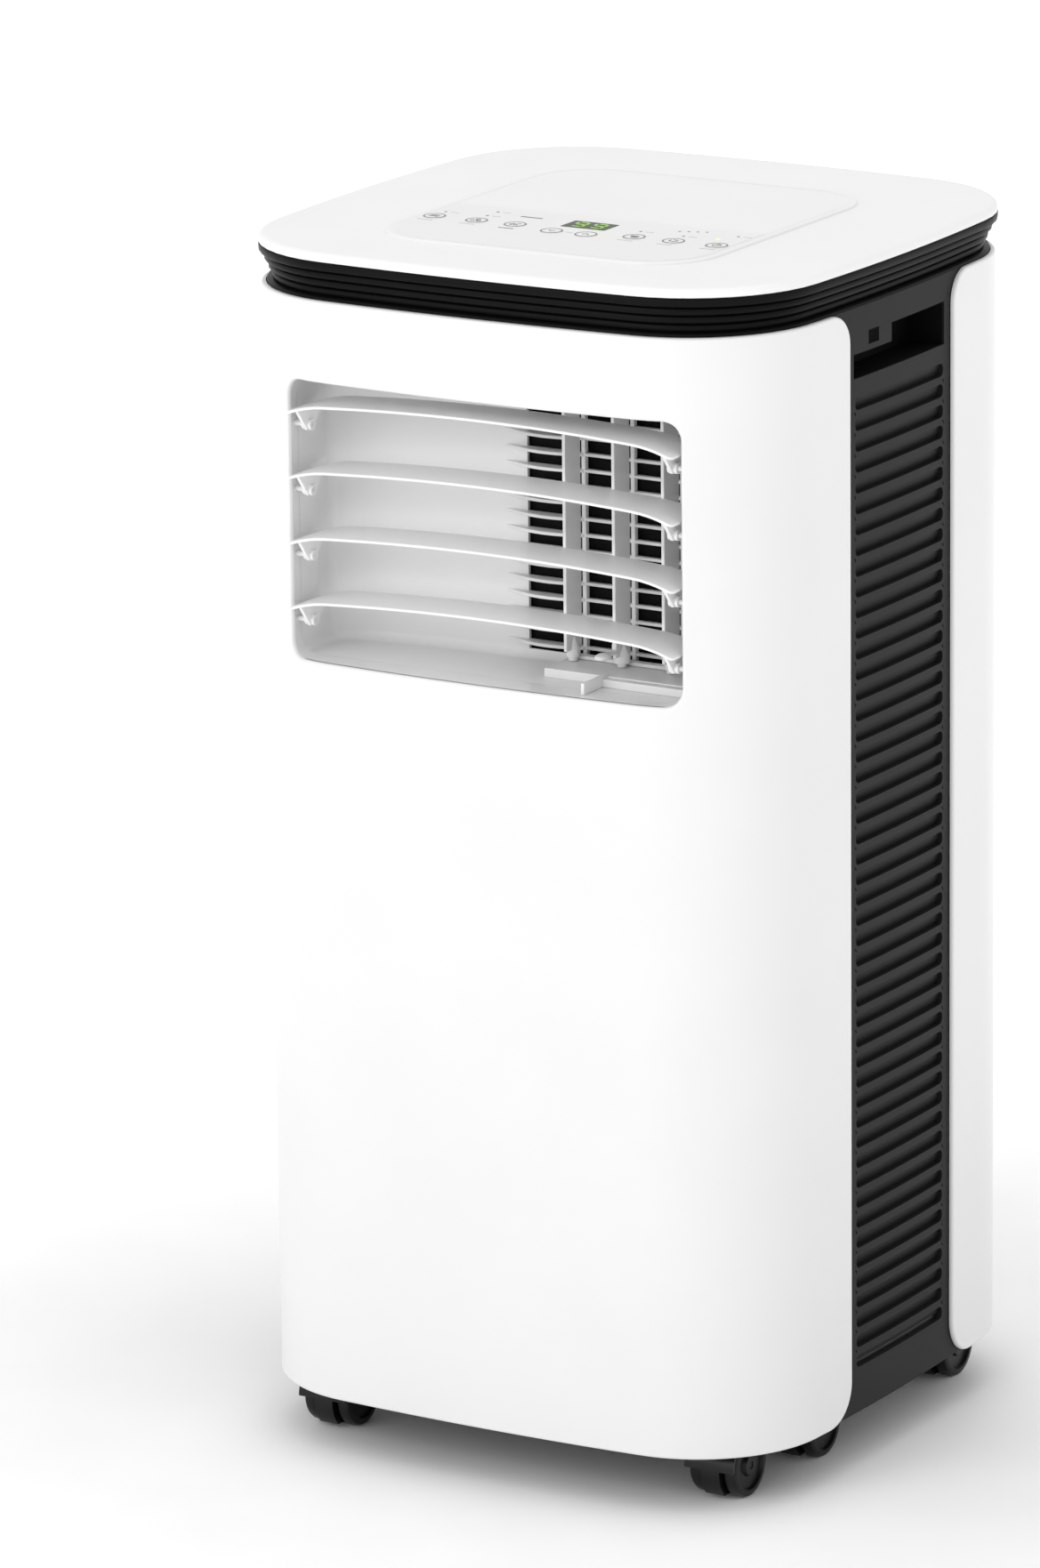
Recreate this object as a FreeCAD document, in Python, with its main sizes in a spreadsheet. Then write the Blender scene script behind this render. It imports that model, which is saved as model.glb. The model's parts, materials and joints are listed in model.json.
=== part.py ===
import FreeCAD, Part
import math
import os
import re

import Sketcher
from FreeCAD import Placement, Rotation, Vector

# Portable air conditioner, upright cabinet on six casters.
# Model frame: origin on the floor under the cabinet's centre, +Z up, front towards -Y,
# right towards +X, millimetres.  "Inset" is always measured inwards from the cabinet outline.

SIZES = {
    # Cabinet outline and heights
    "body_width": 330.0,
    "body_depth": 330.0,
    "bow_radius": 1430.0,
    "corner_radius": 74.0,
    "cover_base": 30.0,
    "cover_height": 602.5,
    "wall_size": 2.5,
    "seam_gap": 0.3,
    "pin_gap": 0.05,
    # Collar, lid and control panel
    "collar_height": 21.0,
    "collar_shoulder": 2.2,
    "collar_shoulder_inset": 1.2,
    "collar_rib_inset": 5.0,
    "collar_waist_inset": 8.0,
    "collar_lip_height": 4.0,
    "collar_rib_height": 2.2,
    "collar_rib_pitch": 5.0,
    "collar_width": 16.0,
    "lid_height": 5.5,
    "lid_skin": 2.5,
    "lid_overhang": 1.4,
    "panel_half_width": 98.0,
    "panel_front": -116.0,
    "panel_back": 100.0,
    "panel_corner": 38.0,
    "panel_raise": 1.0,
    "key_radius": 6.0,
    "key_flange": 1.0,
    "key_stand": 0.3,
    "key_travel": 0.6,
    "key_row": -58.5,
    "key_middle_row": -64.4,
    "board_size": 1.5,
    "display_left": -14.0,
    "display_right": 15.0,
    "display_front": -52.5,
    "display_back": -34.0,
    # Side panels
    "panel_seam": 57.0,
    "panel_lap": 15.0,
    "louvre_half": 48.5,
    "louvre_top": 585.2,
    "louvre_pitch": 11.11,
    "louvre_height": 7.0,
    "louvre_count": 48,
    "louvre_slot": 2.2,
    "louvre_scoop": 1.5,
    "handle_half": 50.0,
    "handle_low": 595.0,
    "handle_step": 608.0,
    "handle_high": 618.0,
    "handle_tab_edge": -10.0,
    "notch_front": -34.5,
    "notch_back": -23.5,
    "notch_low": 611.0,
    "handle_reach": 26.0,
    # Air outlet
    "outlet_half": 118.5,
    "outlet_low": 438.3,
    "outlet_high": 588.8,
    "outlet_corner": 10.0,
    "return_depth": 20.0,
    "slat_count": 4,
    "slat_pitch": 35.15,
    "slat_axis_back": 17.0,
    "slat_axis_top": 26.0,
    "slat_below": 14.4,
    "slat_above": 19.2,
    "slat_skin": 2.0,
    "slat_end_gap": 1.6,
    "slat_pin_radius": 1.5,
    "ear_margin": 8.5,
    "ear_size": 2.0,
    "crank_reach": 23.0,
    "crank_drop": 6.0,
    "crank_pin_radius": 1.2,
    "link_width": 4.0,
    "duct_bend": -118.0,
    "duct_back": -98.0,
    "window_left": -9.0,
    "window_margin": 2.5,
    "grille_pitch": 8.66,
    "grille_bar": 1.8,
    "grille_depth": 3.0,
    "rail_left": 22.0,
    "rail_front": -132.0,
    "rail_back": -100.0,
    "rail_height": 5.0,
    "vane_middle": 57.5,
    "vane_pitch": 29.5,
    "vane_axis": -112.0,
    "vane_front": 8.0,
    "lever_reach": 21.0,
    "lever_low": 5.0,
    "lever_high": 9.0,
    "grip_radius": 2.2,
    "vane_rear": 8.0,
    "vane_skin": 2.0,
    "vane_crank": 6.0,
    # Base, deck and coils
    "tray_base": 40.0,
    "tray_floor": 4.0,
    "tray_rim": 22.0,
    "deck_level": 330.0,
    "deck_skin": 3.0,
    "coil_depth": 28.0,
    "evaporator_half": 116.0,
    "evaporator_front": 96.0,
    "evaporator_top": 600.0,
    "condenser_left": 117.0,
    "condenser_half": 80.0,
    # Blowers
    "upper_fan_depth": -5.0,
    "upper_fan_level": 505.0,
    "upper_scroll_radius": 84.0,
    "upper_wheel_radius": 60.0,
    "lower_fan_depth": 40.0,
    "lower_fan_level": 222.0,
    "lower_scroll_radius": 68.0,
    "lower_scroll_half": 58.0,
    "lower_wheel_radius": 50.0,
    "scroll_skin": 2.0,
    "wheel_side_gap": 5.0,
    "blade_count": 24,
    "shaft_radius": 4.0,
    "motor_radius": 38.0,
    "motor_length": 56.0,
    # Compressor
    "compressor_place": -85.0,
    "compressor_radius": 52.5,
    "compressor_height": 205.0,
    "grommet_height": 13.0,
    "accumulator_radius": 16.0,
    "pipe_radius": 4.0,
    "suction_x": -128.0,
    # Rear fittings
    "port_level": 235.0,
    "port_bore": 65.0,
    "port_skin": 3.0,
    "port_end": 161.5,
    "intake_half": 100.0,
    "intake_low": 362.0,
    "intake_high": 598.0,
    "intake_pitch": 9.0,
    "intake_slot": 5.0,
    "filter_back": 158.0,
    "filter_depth": 7.0,
    "filter_border": 8.0,
    "drain_level": 52.0,
    "drain_bore": 6.0,
    "gland_place": -60.0,
    "gland_level": 80.0,
    "gland_radius": 8.0,
    "gland_bore": 4.0,
    "screw_radius": 3.0,
    "screw_place": 72.0,
    # Casters
    "wheel_radius": 17.5,
    "wheel_width": 8.0,
    "wheel_spread": 20.5,
    "caster_trail": 10.0,
    "hood_gap": 2.0,
    "hood_skin": 1.8,
    "stem_radius": 4.0,
    "stem_length": 14.0,
    "axle_radius": 3.0,
    "caster_front": -105.0,
    "caster_middle": -30.0,
    "caster_rear": 103.0,
    "caster_front_side": 120.0,
    "caster_side": 124.0,
}

# Names for lengths that several pieces share, written in terms of the sheet
COVER_TOP = "(cover_base + cover_height)"
COLLAR_TOP = f"({COVER_TOP} + collar_height)"
LID_TOP = f"({COLLAR_TOP} + lid_height)"
PANEL_TOP = f"({LID_TOP} + panel_raise)"
INNER = "(wall_size + seam_gap)"
SIDE_INNER = "(2 * wall_size + 2 * seam_gap)"
TRAY_FLOOR = "(tray_base + tray_floor)"
SOCKET_TOP = "(tray_base + stem_length + 2)"
CONDENSER_TUBE = "(condenser_left + 8)"
SLAT_AXIS_Y = "(slat_axis_back - body_depth / 2)"
DUCT_BACK = "(duct_back + wall_size)"
SCROLL_FRONT = f"({DUCT_BACK} + seam_gap)"
EAR_PLACE = "(outlet_half - ear_margin)"
WINDOW_RIGHT = "(outlet_half - window_margin)"
SCROLL_LEFT = "(window_left - scroll_skin)"
SCROLL_RIGHT = f"({WINDOW_RIGHT} + scroll_skin)"
LOWER_OUTLET = "(lower_fan_depth + lower_scroll_radius + 10)"
KEY_PLACES = {
    "key_swing": ("-85.4", "key_row"),
    "key_speed": ("-59.6", "key_row"),
    "key_timer": ("-36", "key_row"),
    "key_down": ("-10.4", "key_middle_row"),
    "key_up": ("10.4", "key_middle_row"),
    "key_sleep": ("36", "key_row"),
    "key_mode": ("59.6", "key_row"),
    "key_power": ("85.4", "key_row"),
}
CASTERS = {
    "front_left": ("-caster_front_side", "caster_front", -1),
    "front_right": ("caster_front_side", "caster_front", -1),
    "middle_left": ("-caster_side", "caster_middle", -1),
    "middle_right": ("caster_side", "caster_middle", -1),
    "rear_left": ("-caster_side", "caster_rear", 1),
    "rear_right": ("caster_side", "caster_rear", 1),
}
AXIS_TURNS = {
    "x": Rotation(Vector(0, 1, 0), 90),
    "y": Rotation(Vector(1, 0, 0), -90),
    "z": Rotation(),
}

doc = FreeCAD.newDocument("PortableAirConditioner")
sheet = doc.addObject("Spreadsheet::Sheet", "Sizes")
for row, (alias, amount) in enumerate(SIZES.items(), start=1):
    sheet.set(f"A{row}", alias)
    sheet.set(f"B{row}", str(amount))
    sheet.setAlias(f"B{row}", alias)
doc.recompute()

NAME_PATTERN = re.compile(r"\b(" + "|".join(SIZES) + r")\b")
nodes = {}


# ---------------------------------------------------------------- helpers

def bound(formula):
    """A formula with each of its size names pointed at the sheet."""
    return NAME_PATTERN.sub(r"Sizes.\1", str(formula))


def number(formula):
    """What a formula comes to now."""
    return float(sheet.evalExpression(bound(formula)))


def node(name, item):
    """Make an object the finished sub-part of that name."""
    item.Label = name
    nodes[name] = item
    return item


def box(x, y, z):
    """Box between three pairs of formulas."""
    item = doc.addObject("Part::Box", "Block")
    for side, axis, (low, high) in zip(("Length", "Width", "Height"), "xyz", (x, y, z)):
        item.setExpression(side, bound(f"({high}) - ({low})"))
        item.setExpression(f"Placement.Base.{axis}", bound(low))
    return item


def rod(axis, span, centre, radius):
    """Cylinder along an axis; centre holds its other two coordinates in x, y, z order."""
    item = doc.addObject("Part::Cylinder", "Rod")
    item.Placement = Placement(Vector(), AXIS_TURNS[axis])
    place = dict(zip([name for name in "xyz" if name != axis], centre))
    place[axis] = span[0]
    for name in "xyz":
        item.setExpression(f"Placement.Base.{name}", bound(place[name]))
    item.setExpression("Radius", bound(radius))
    item.setExpression("Height", bound(f"({span[1]}) - ({span[0]})"))
    return item


def fuse(*items):
    """Union of two or more objects."""
    item = doc.addObject("Part::MultiFuse", "Union")
    item.Shapes = list(items)
    return item


def cut(base, *tools):
    """Base with the tools taken away."""
    item = doc.addObject("Part::Cut", "Cut")
    item.Base = base
    item.Tool = tools[0] if len(tools) == 1 else fuse(*tools)
    return item


def common(*items):
    """Volume that all the objects share."""
    item = doc.addObject("Part::MultiCommon", "Common")
    item.Shapes = list(items)
    return item


def new_body(name):
    """Empty PartDesign body."""
    return doc.addObject("PartDesign::Body", name)


def new_sketch(body, role, offset="0"):
    """Sketch on one of the body's own origin planes, moved along its normal."""
    sketch = body.newObject("Sketcher::SketchObject", "Sketch")
    plane = next(item for item in body.Origin.OriginFeatures if item.Role == role)
    sketch.AttachmentSupport = [(plane, "")]
    sketch.MapMode = "FlatFace"
    sketch.setExpression("AttachmentOffset.Base.z", bound(offset))
    return sketch


def constrain(sketch, formula, *terms):
    """Driving dimension that follows a formula."""
    index = sketch.addConstraint(Sketcher.Constraint(*terms, number(formula)))
    sketch.setExpression(f"Constraints[{index}]", bound(formula))


def draw_polygon(sketch, points):
    """Closed polygon through points given as pairs of formulas."""
    first = sketch.GeometryCount
    spots = [Vector(number(x), number(y), 0) for x, y in points]
    count = len(spots)
    for index, spot in enumerate(spots):
        sketch.addGeometry(Part.LineSegment(spot, spots[(index + 1) % count]), False)
    for index, (x, y) in enumerate(points):
        after = first + (index + 1) % count
        sketch.addConstraint(Sketcher.Constraint("Coincident", first + index, 2, after, 1))
        constrain(sketch, x, "DistanceX", -1, 1, first + index, 1)
        constrain(sketch, y, "DistanceY", -1, 1, first + index, 1)


def draw_rectangle(sketch, x, y):
    """Rectangle between two pairs of formulas."""
    draw_polygon(sketch, [(x[0], y[0]), (x[1], y[0]), (x[1], y[1]), (x[0], y[1])])


def draw_circle(sketch, x, y, radius):
    """Circle at a centre given by formulas."""
    index = sketch.GeometryCount
    centre = Vector(number(x), number(y), 0)
    sketch.addGeometry(Part.Circle(centre, Vector(0, 0, 1), number(radius)), False)
    constrain(sketch, x, "DistanceX", -1, 1, index, 3)
    constrain(sketch, y, "DistanceY", -1, 1, index, 3)
    constrain(sketch, radius, "Radius", index)


def draw_round_rectangle(sketch, x, y, radius):
    """Rectangle between two pairs of formulas, with one corner radius."""
    first = sketch.GeometryCount
    low_x, high_x = number(x[0]), number(x[1])
    low_y, high_y = number(y[0]), number(y[1])
    bend = number(radius)
    corners = [
        (high_x - bend, low_y + bend, -90),
        (high_x - bend, high_y - bend, 0),
        (low_x + bend, high_y - bend, 90),
        (low_x + bend, low_y + bend, 180),
    ]
    starts = [
        Vector(low_x + bend, low_y, 0),
        Vector(high_x, low_y + bend, 0),
        Vector(high_x - bend, high_y, 0),
        Vector(low_x, high_y - bend, 0),
    ]
    ends = [
        Vector(high_x - bend, low_y, 0),
        Vector(high_x, high_y - bend, 0),
        Vector(low_x + bend, high_y, 0),
        Vector(low_x, low_y + bend, 0),
    ]
    for start, end, (centre_x, centre_y, angle) in zip(starts, ends, corners):
        circle = Part.Circle(Vector(centre_x, centre_y, 0), Vector(0, 0, 1), bend)
        sketch.addGeometry(Part.LineSegment(start, end), False)
        arc = Part.ArcOfCircle(circle, math.radians(angle), math.radians(angle + 90))
        sketch.addGeometry(arc, False)
    for index in range(8):
        after = first + (index + 1) % 8
        sketch.addConstraint(Sketcher.Constraint("Tangent", first + index, 2, after, 1))
    for index in (0, 4):
        sketch.addConstraint(Sketcher.Constraint("Horizontal", first + index))
    for index in (2, 6):
        sketch.addConstraint(Sketcher.Constraint("Vertical", first + index))
    for index in (3, 5, 7):
        sketch.addConstraint(Sketcher.Constraint("Equal", first + 1, first + index))
    constrain(sketch, radius, "Radius", first + 1)
    constrain(sketch, y[0], "DistanceY", -1, 1, first, 1)
    constrain(sketch, x[1], "DistanceX", -1, 1, first + 2, 1)
    constrain(sketch, y[1], "DistanceY", -1, 1, first + 4, 1)
    constrain(sketch, x[0], "DistanceX", -1, 1, first + 6, 1)


def draw_outline(sketch, inset):
    """Cabinet outline moved inwards: four bowed sides joined by four round corners."""
    first = sketch.GeometryCount
    bow = number(f"bow_radius - ({inset})")
    corner = number(f"corner_radius - ({inset})")
    front_centre = number("bow_radius - body_depth / 2")
    side_centre = number("bow_radius - body_width / 2")
    reach = bow - corner
    apart = math.hypot(side_centre, front_centre)
    height = math.sqrt(reach ** 2 - (apart / 2) ** 2)
    centre_x = -side_centre / 2 + height * front_centre / apart
    centre_y = front_centre / 2 - height * side_centre / apart
    front_end = math.atan2(centre_y - front_centre, centre_x)
    side_start = math.atan2(centre_y, centre_x + side_centre)
    arcs = [
        (0, front_centre, bow, -math.pi - front_end, front_end),
        (centre_x, centre_y, corner, front_end, side_start),
        (-side_centre, 0, bow, side_start, -side_start),
        (centre_x, -centre_y, corner, -side_start, -front_end),
        (0, -front_centre, bow, -front_end, math.pi + front_end),
        (-centre_x, -centre_y, corner, math.pi + front_end, math.pi + side_start),
        (side_centre, 0, bow, math.pi + side_start, math.pi - side_start),
        (-centre_x, centre_y, corner, math.pi - side_start, math.pi - front_end),
    ]
    for x, y, radius, start, end in arcs:
        circle = Part.Circle(Vector(x, y, 0), Vector(0, 0, 1), radius)
        sketch.addGeometry(Part.ArcOfCircle(circle, start, end), False)
    for index in range(8):
        after = first + (index + 1) % 8
        sketch.addConstraint(Sketcher.Constraint("Tangent", first + index, 2, after, 1))
    for index in (2, 4, 6):
        sketch.addConstraint(Sketcher.Constraint("Equal", first, first + index))
    for index in (3, 5, 7):
        sketch.addConstraint(Sketcher.Constraint("Equal", first + 1, first + index))
    for index, axis in ((0, -2), (2, -1), (4, -2), (6, -1)):
        sketch.addConstraint(Sketcher.Constraint("PointOnObject", first + index, 3, axis))
    constrain(sketch, f"bow_radius - ({inset})", "Radius", first)
    constrain(sketch, f"corner_radius - ({inset})", "Radius", first + 1)
    constrain(sketch, "bow_radius - body_depth / 2", "DistanceY", -1, 1, first, 3)
    constrain(sketch, "bow_radius - body_width / 2", "DistanceX", first + 2, 3, -1, 1)
    constrain(sketch, "bow_radius - body_depth / 2", "DistanceY", first + 4, 3, -1, 1)
    constrain(sketch, "bow_radius - body_width / 2", "DistanceX", -1, 1, first + 6, 3)


def pad(body, sketch, length):
    """Pad along the sketch's normal."""
    feature = body.newObject("PartDesign::Pad", "Pad")
    feature.Profile = (sketch, [""])
    feature.setExpression("Length", bound(length))
    return feature


def pocket(body, sketch, length, reverse=False):
    """Pocket against the sketch's normal, or along it when reversed."""
    feature = body.newObject("PartDesign::Pocket", "Pocket")
    feature.Profile = (sketch, [""])
    feature.Reversed = reverse
    feature.setExpression("Length", bound(length))
    return feature


def turn(body, sketch):
    """Revolution about the sketch's vertical axis."""
    feature = body.newObject("PartDesign::Revolution", "Turning")
    feature.Profile = (sketch, [""])
    feature.ReferenceAxis = (sketch, ["V_Axis"])
    feature.Angle = 360
    return feature


def row_of(body, feature, sketch, axis, span, count):
    """Repeat a feature in a straight row along a sketch axis."""
    pattern = body.newObject("PartDesign::LinearPattern", "Row")
    pattern.Originals = [feature]
    pattern.Direction = (sketch, [axis])
    pattern.setExpression("Length", bound(span))
    pattern.setExpression("Occurrences", bound(count))
    body.Tip = pattern
    return pattern


def ring_of(body, feature, sketch, count):
    """Repeat a feature around the sketch's normal."""
    pattern = body.newObject("PartDesign::PolarPattern", "Ring")
    pattern.Originals = [feature]
    pattern.Axis = (sketch, ["N_Axis"])
    pattern.Angle = 360
    pattern.setExpression("Occurrences", bound(count))
    body.Tip = pattern
    return pattern


def outline_prism(inset, low, high):
    """Upright prism on the cabinet outline."""
    body = new_body("Prism")
    sketch = new_sketch(body, "XY_Plane", low)
    draw_outline(sketch, inset)
    pad(body, sketch, f"({high}) - ({low})")
    return body


def outline_ring(outer, inner, low, high):
    """Upright ring between two insets of the cabinet outline."""
    body = new_body("Ring")
    sketch = new_sketch(body, "XY_Plane", low)
    draw_outline(sketch, outer)
    draw_outline(sketch, inner)
    pad(body, sketch, f"({high}) - ({low})")
    return body


def placed(item, x, y, z):
    """Give an object a place that follows three formulas."""
    for name, formula in zip("xyz", (x, y, z)):
        item.setExpression(f"Placement.Base.{name}", bound(formula))
    return item


# ---------------------------------------------------------------- base and casters

def build_base_tray():
    """Drip tray that carries the cabinet, with a socket for each caster stem."""
    body = new_body("base_tray")
    plate = new_sketch(body, "XY_Plane", "tray_base")
    draw_outline(plate, SIDE_INNER)
    pad(body, plate, "tray_rim")
    hollow = new_sketch(body, "XY_Plane", "tray_base + tray_rim")
    draw_outline(hollow, f"{SIDE_INNER} + tray_floor")
    pocket(body, hollow, "tray_rim - tray_floor")
    bosses = new_sketch(body, "XY_Plane", TRAY_FLOOR)
    for x, y, _ in CASTERS.values():
        draw_circle(bosses, x, y, "2 * stem_radius")
    pad(body, bosses, f"{SOCKET_TOP} - {TRAY_FLOOR}")
    sockets = new_sketch(body, "XY_Plane", "tray_base")
    for x, y, _ in CASTERS.values():
        draw_circle(sockets, x, y, "stem_radius + pin_gap")
    pocket(body, sockets, "stem_length + 0.5", reverse=True)
    spout_start = f"body_depth / 2 - {SIDE_INNER} - tray_floor - 3"
    spout = rod("y", (spout_start, "body_depth / 2 - 5"), ("0", "drain_level"), "drain_bore + 3")
    bore = rod("y", (f"{spout_start} - 1", "body_depth / 2"), ("0", "drain_level"), "drain_bore")
    node("base_tray", cut(fuse(body, spout), bore))


def build_caster(place, x, y, way):
    """Twin-wheel caster: a hooded yoke that swivels and a wheel pair that rolls."""
    axle_y = f"({y}) + ({way}) * caster_trail"
    axle_z = "wheel_radius"
    hood = "(wheel_radius + hood_gap)"
    outer = f"({hood} + hood_skin)"
    half = "(wheel_spread / 2 + wheel_width / 2 + 0.5)"
    web = "(wheel_spread / 2 - wheel_width / 2 - 0.6)"
    hood_span = (f"({x}) - {half}", f"({x}) + {half}")
    web_span = (f"({x}) - {web}", f"({x}) + {web}")
    shell = cut(
        rod("x", hood_span, (axle_y, axle_z), outer),
        rod("x", (f"{hood_span[0]} - 1", f"{hood_span[1]} + 1"), (axle_y, axle_z), hood),
        box((f"{hood_span[0]} - 1", f"{hood_span[1]} + 1"),
            (f"{axle_y} - {outer} - 1", f"{axle_y} + {outer} + 1"),
            (f"{axle_z} - {outer} - 1", f"{axle_z} + 1")),
    )
    cheek = common(
        rod("x", web_span, (axle_y, axle_z), f"{hood} + 0.5"),
        box(web_span, (f"{axle_y} - 40", f"{axle_y} + 40"), ("3", "60")),
    )
    neck = rod("z", (f"{axle_z} + wheel_radius * 0.6", "tray_base - 0.3"), (x, y), "stem_radius + 3.5")
    neck = common(neck, box(web_span, (f"{axle_y} - 40", f"{axle_y} + 40"), ("3", "60")))
    flange = rod("z", (f"{axle_z} + {outer} - 1", "tray_base - 0.3"), (x, y), "stem_radius + 4")
    stem = rod("z", ("tray_base - 1", "tray_base + stem_length"), (x, y), "stem_radius")
    hole = rod("x", (f"{web_span[0]} - 1", f"{web_span[1]} + 1"), (axle_y, axle_z),
               "axle_radius + pin_gap")
    node(f"caster_yoke_{place}", cut(fuse(shell, cheek, neck, flange, stem), hole))

    body = new_body(f"caster_wheels_{place}")
    tyre = new_sketch(body, "YZ_Plane", "wheel_spread / 2 - wheel_width / 2")
    draw_circle(tyre, "0", "0", "wheel_radius")
    pad(body, tyre, "wheel_width")
    other = new_sketch(body, "YZ_Plane", "-wheel_spread / 2 - wheel_width / 2")
    draw_circle(other, "0", "0", "wheel_radius")
    pad(body, other, "wheel_width")
    axle = new_sketch(body, "YZ_Plane", "-wheel_spread / 2")
    draw_circle(axle, "0", "0", "axle_radius")
    pad(body, axle, "wheel_spread")
    for side, reverse in (("wheel_spread / 2 + wheel_width / 2", False),
                          ("-wheel_spread / 2 - wheel_width / 2", True)):
        dish = new_sketch(body, "YZ_Plane", side)
        draw_circle(dish, "0", "0", "wheel_radius * 0.7")
        draw_circle(dish, "0", "0", "axle_radius")
        pocket(body, dish, "1.5", reverse=reverse)
    node(f"caster_wheels_{place}", placed(body, x, axle_y, axle_z))


# ---------------------------------------------------------------- covers, collar and lid

def cover_shell(front):
    """Half of the cabinet's outer skin, from one side seam to the other."""
    skin = outline_ring("0", "wall_size", "cover_base", COVER_TOP)
    width = ("-body_width", "body_width")
    depth = ("-body_depth", "-panel_seam") if front else ("panel_seam", "body_depth")
    return common(skin, box(width, depth, ("0", f"{COVER_TOP} + 10")))


def round_block(half, low, high, corner, front, back):
    """Block along Y with rounded corners, standing between two levels."""
    body = new_body("RoundBlock")
    sketch = new_sketch(body, "XZ_Plane", f"-({back})")
    draw_round_rectangle(sketch, (f"-({half})", half), (low, high), corner)
    pad(body, sketch, f"({back}) - ({front})")
    return body


def build_front_cover():
    """Front cover with the air outlet and the flange round it that carries the slats."""
    flange_back = "return_depth - body_depth / 2"
    frame = round_block("outlet_half + wall_size", "outlet_low - wall_size",
                        "outlet_high + wall_size", "outlet_corner + wall_size",
                        "-body_depth / 2 - 5", flange_back)
    frame = common(frame, outline_prism("0", "cover_base", COVER_TOP))
    opening = round_block("outlet_half", "outlet_low", "outlet_high", "outlet_corner",
                          "-body_depth / 2 - 10", f"{flange_back} + 5")
    holes = []
    for index in range(int(number("slat_count"))):
        holes.append(rod("x", ("-outlet_half - 10", "outlet_half + 10"),
                         (SLAT_AXIS_Y, slat_level(index)), "slat_pin_radius + pin_gap"))
    keep = common(fuse(*holes), box(("-outlet_half - wall_size / 2 - 1", "outlet_half + wall_size / 2 + 1"),
                                    ("-body_depth", "0"), ("0", COVER_TOP)))
    node("front_cover", cut(fuse(cover_shell(True), frame), opening, keep))


def build_rear_cover():
    """Rear cover with the intake window and holes for the port, spout, gland and screws."""
    through = ("body_depth / 2 - 30", "body_depth / 2 + 5")
    window = box(("-intake_half", "intake_half"), through, ("intake_low", "intake_high"))
    port = rod("y", through, ("0", "port_level"), "port_bore + port_skin + 0.5")
    spout = rod("y", through, ("0", "drain_level"), "drain_bore + 3 + seam_gap")
    gland = rod("y", through, ("gland_place", "gland_level"), "gland_radius + pin_gap")
    screws = [rod("y", through, (x, z), "screw_radius + pin_gap") for x, z in screw_places()]
    node("rear_cover", cut(cover_shell(False), window, port, spout, gland, *screws))


def screw_places():
    """Cover screws in two columns."""
    levels = ("cover_base + 15", "deck_level + 5", f"{COVER_TOP} - 15")
    return [(f"({sign}) * screw_place", level) for sign in (-1, 1) for level in levels]


def build_cover_screws():
    """Screw heads that hold the rear cover."""
    span = ("body_depth / 2 - 7", "body_depth / 2 - 2.2")
    node("cover_screws", fuse(*[rod("y", span, place, "screw_radius") for place in screw_places()]))


def build_side_panel(name, side):
    """Louvred side panel lapped behind both covers, with a moulded hand hold."""
    half = "panel_seam + panel_lap"
    skin = outline_ring(INNER, f"{INNER} + wall_size", "cover_base + 1", COVER_TOP)
    width = ("0", "body_width") if side > 0 else ("-body_width", "0")
    panel = common(skin, box(width, (f"-({half})", half), ("0", f"{COVER_TOP} + 10")))

    grooves = new_body("Grooves")
    reach = "(body_width / 2 + 5)"
    floor = f"(body_width / 2 - {INNER} - louvre_scoop)"
    offset = floor if side > 0 else f"-{reach}"
    scoop = new_sketch(grooves, "YZ_Plane", offset)
    radius = "louvre_height / 2 - 0.05"
    draw_round_rectangle(scoop, ("-louvre_half", "louvre_half"),
                         ("louvre_top - louvre_height", "louvre_top"), radius)
    first = pad(grooves, scoop, f"{reach} - {floor}")
    row_of(grooves, first, scoop, "V_Axis", "louvre_pitch * (louvre_count - 1)", "louvre_count")
    grooves.Tip.Reversed = True

    slots = new_body("Slots")
    slit = new_sketch(slots, "YZ_Plane", "body_width / 2 - 20" if side > 0 else f"-{reach}")
    slit_top = "louvre_top - 0.8"
    draw_rectangle(slit, ("-louvre_half + 4", "louvre_half - 4"), (f"{slit_top} - louvre_slot", slit_top))
    first = pad(slots, slit, f"{reach} - body_width / 2 + 20")
    row_of(slots, first, slit, "V_Axis", "louvre_pitch * (louvre_count - 1)", "louvre_count")
    slots.Tip.Reversed = True

    outside = "(body_width / 2 + 5)"
    inside = "(body_width / 2 - handle_reach)"

    def across(low, high):
        """Span across the panel on its own side."""
        return (low, high) if side > 0 else (f"-({high})", f"-({low})")

    grip = box(across(inside, outside), ("-handle_half", "handle_half"), ("handle_low", "handle_step"))
    lift = box(across(inside, outside), ("handle_tab_edge", "handle_half"), ("handle_low", "handle_high"))
    notch = box(across(f"body_width / 2 - {INNER} - wall_size - 6", outside),
                ("notch_front", "notch_back"), ("notch_low", "handle_high"))
    behind = box(across(inside, f"body_width / 2 - {INNER} - wall_size - 2"),
                 ("-handle_half", "handle_half"), ("handle_low", "handle_high"))
    cup = box(across(f"{inside} - wall_size", f"body_width / 2 - {INNER} - wall_size / 2"),
              ("-handle_half - wall_size", "handle_half + wall_size"),
              ("handle_low - wall_size", "handle_high + wall_size"))
    cup = common(cup, outline_prism(f"{INNER} + wall_size / 2", "cover_base", COVER_TOP))
    node(name, cut(fuse(cut(panel, grooves, slots), cup), grip, lift, notch, behind))


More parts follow.
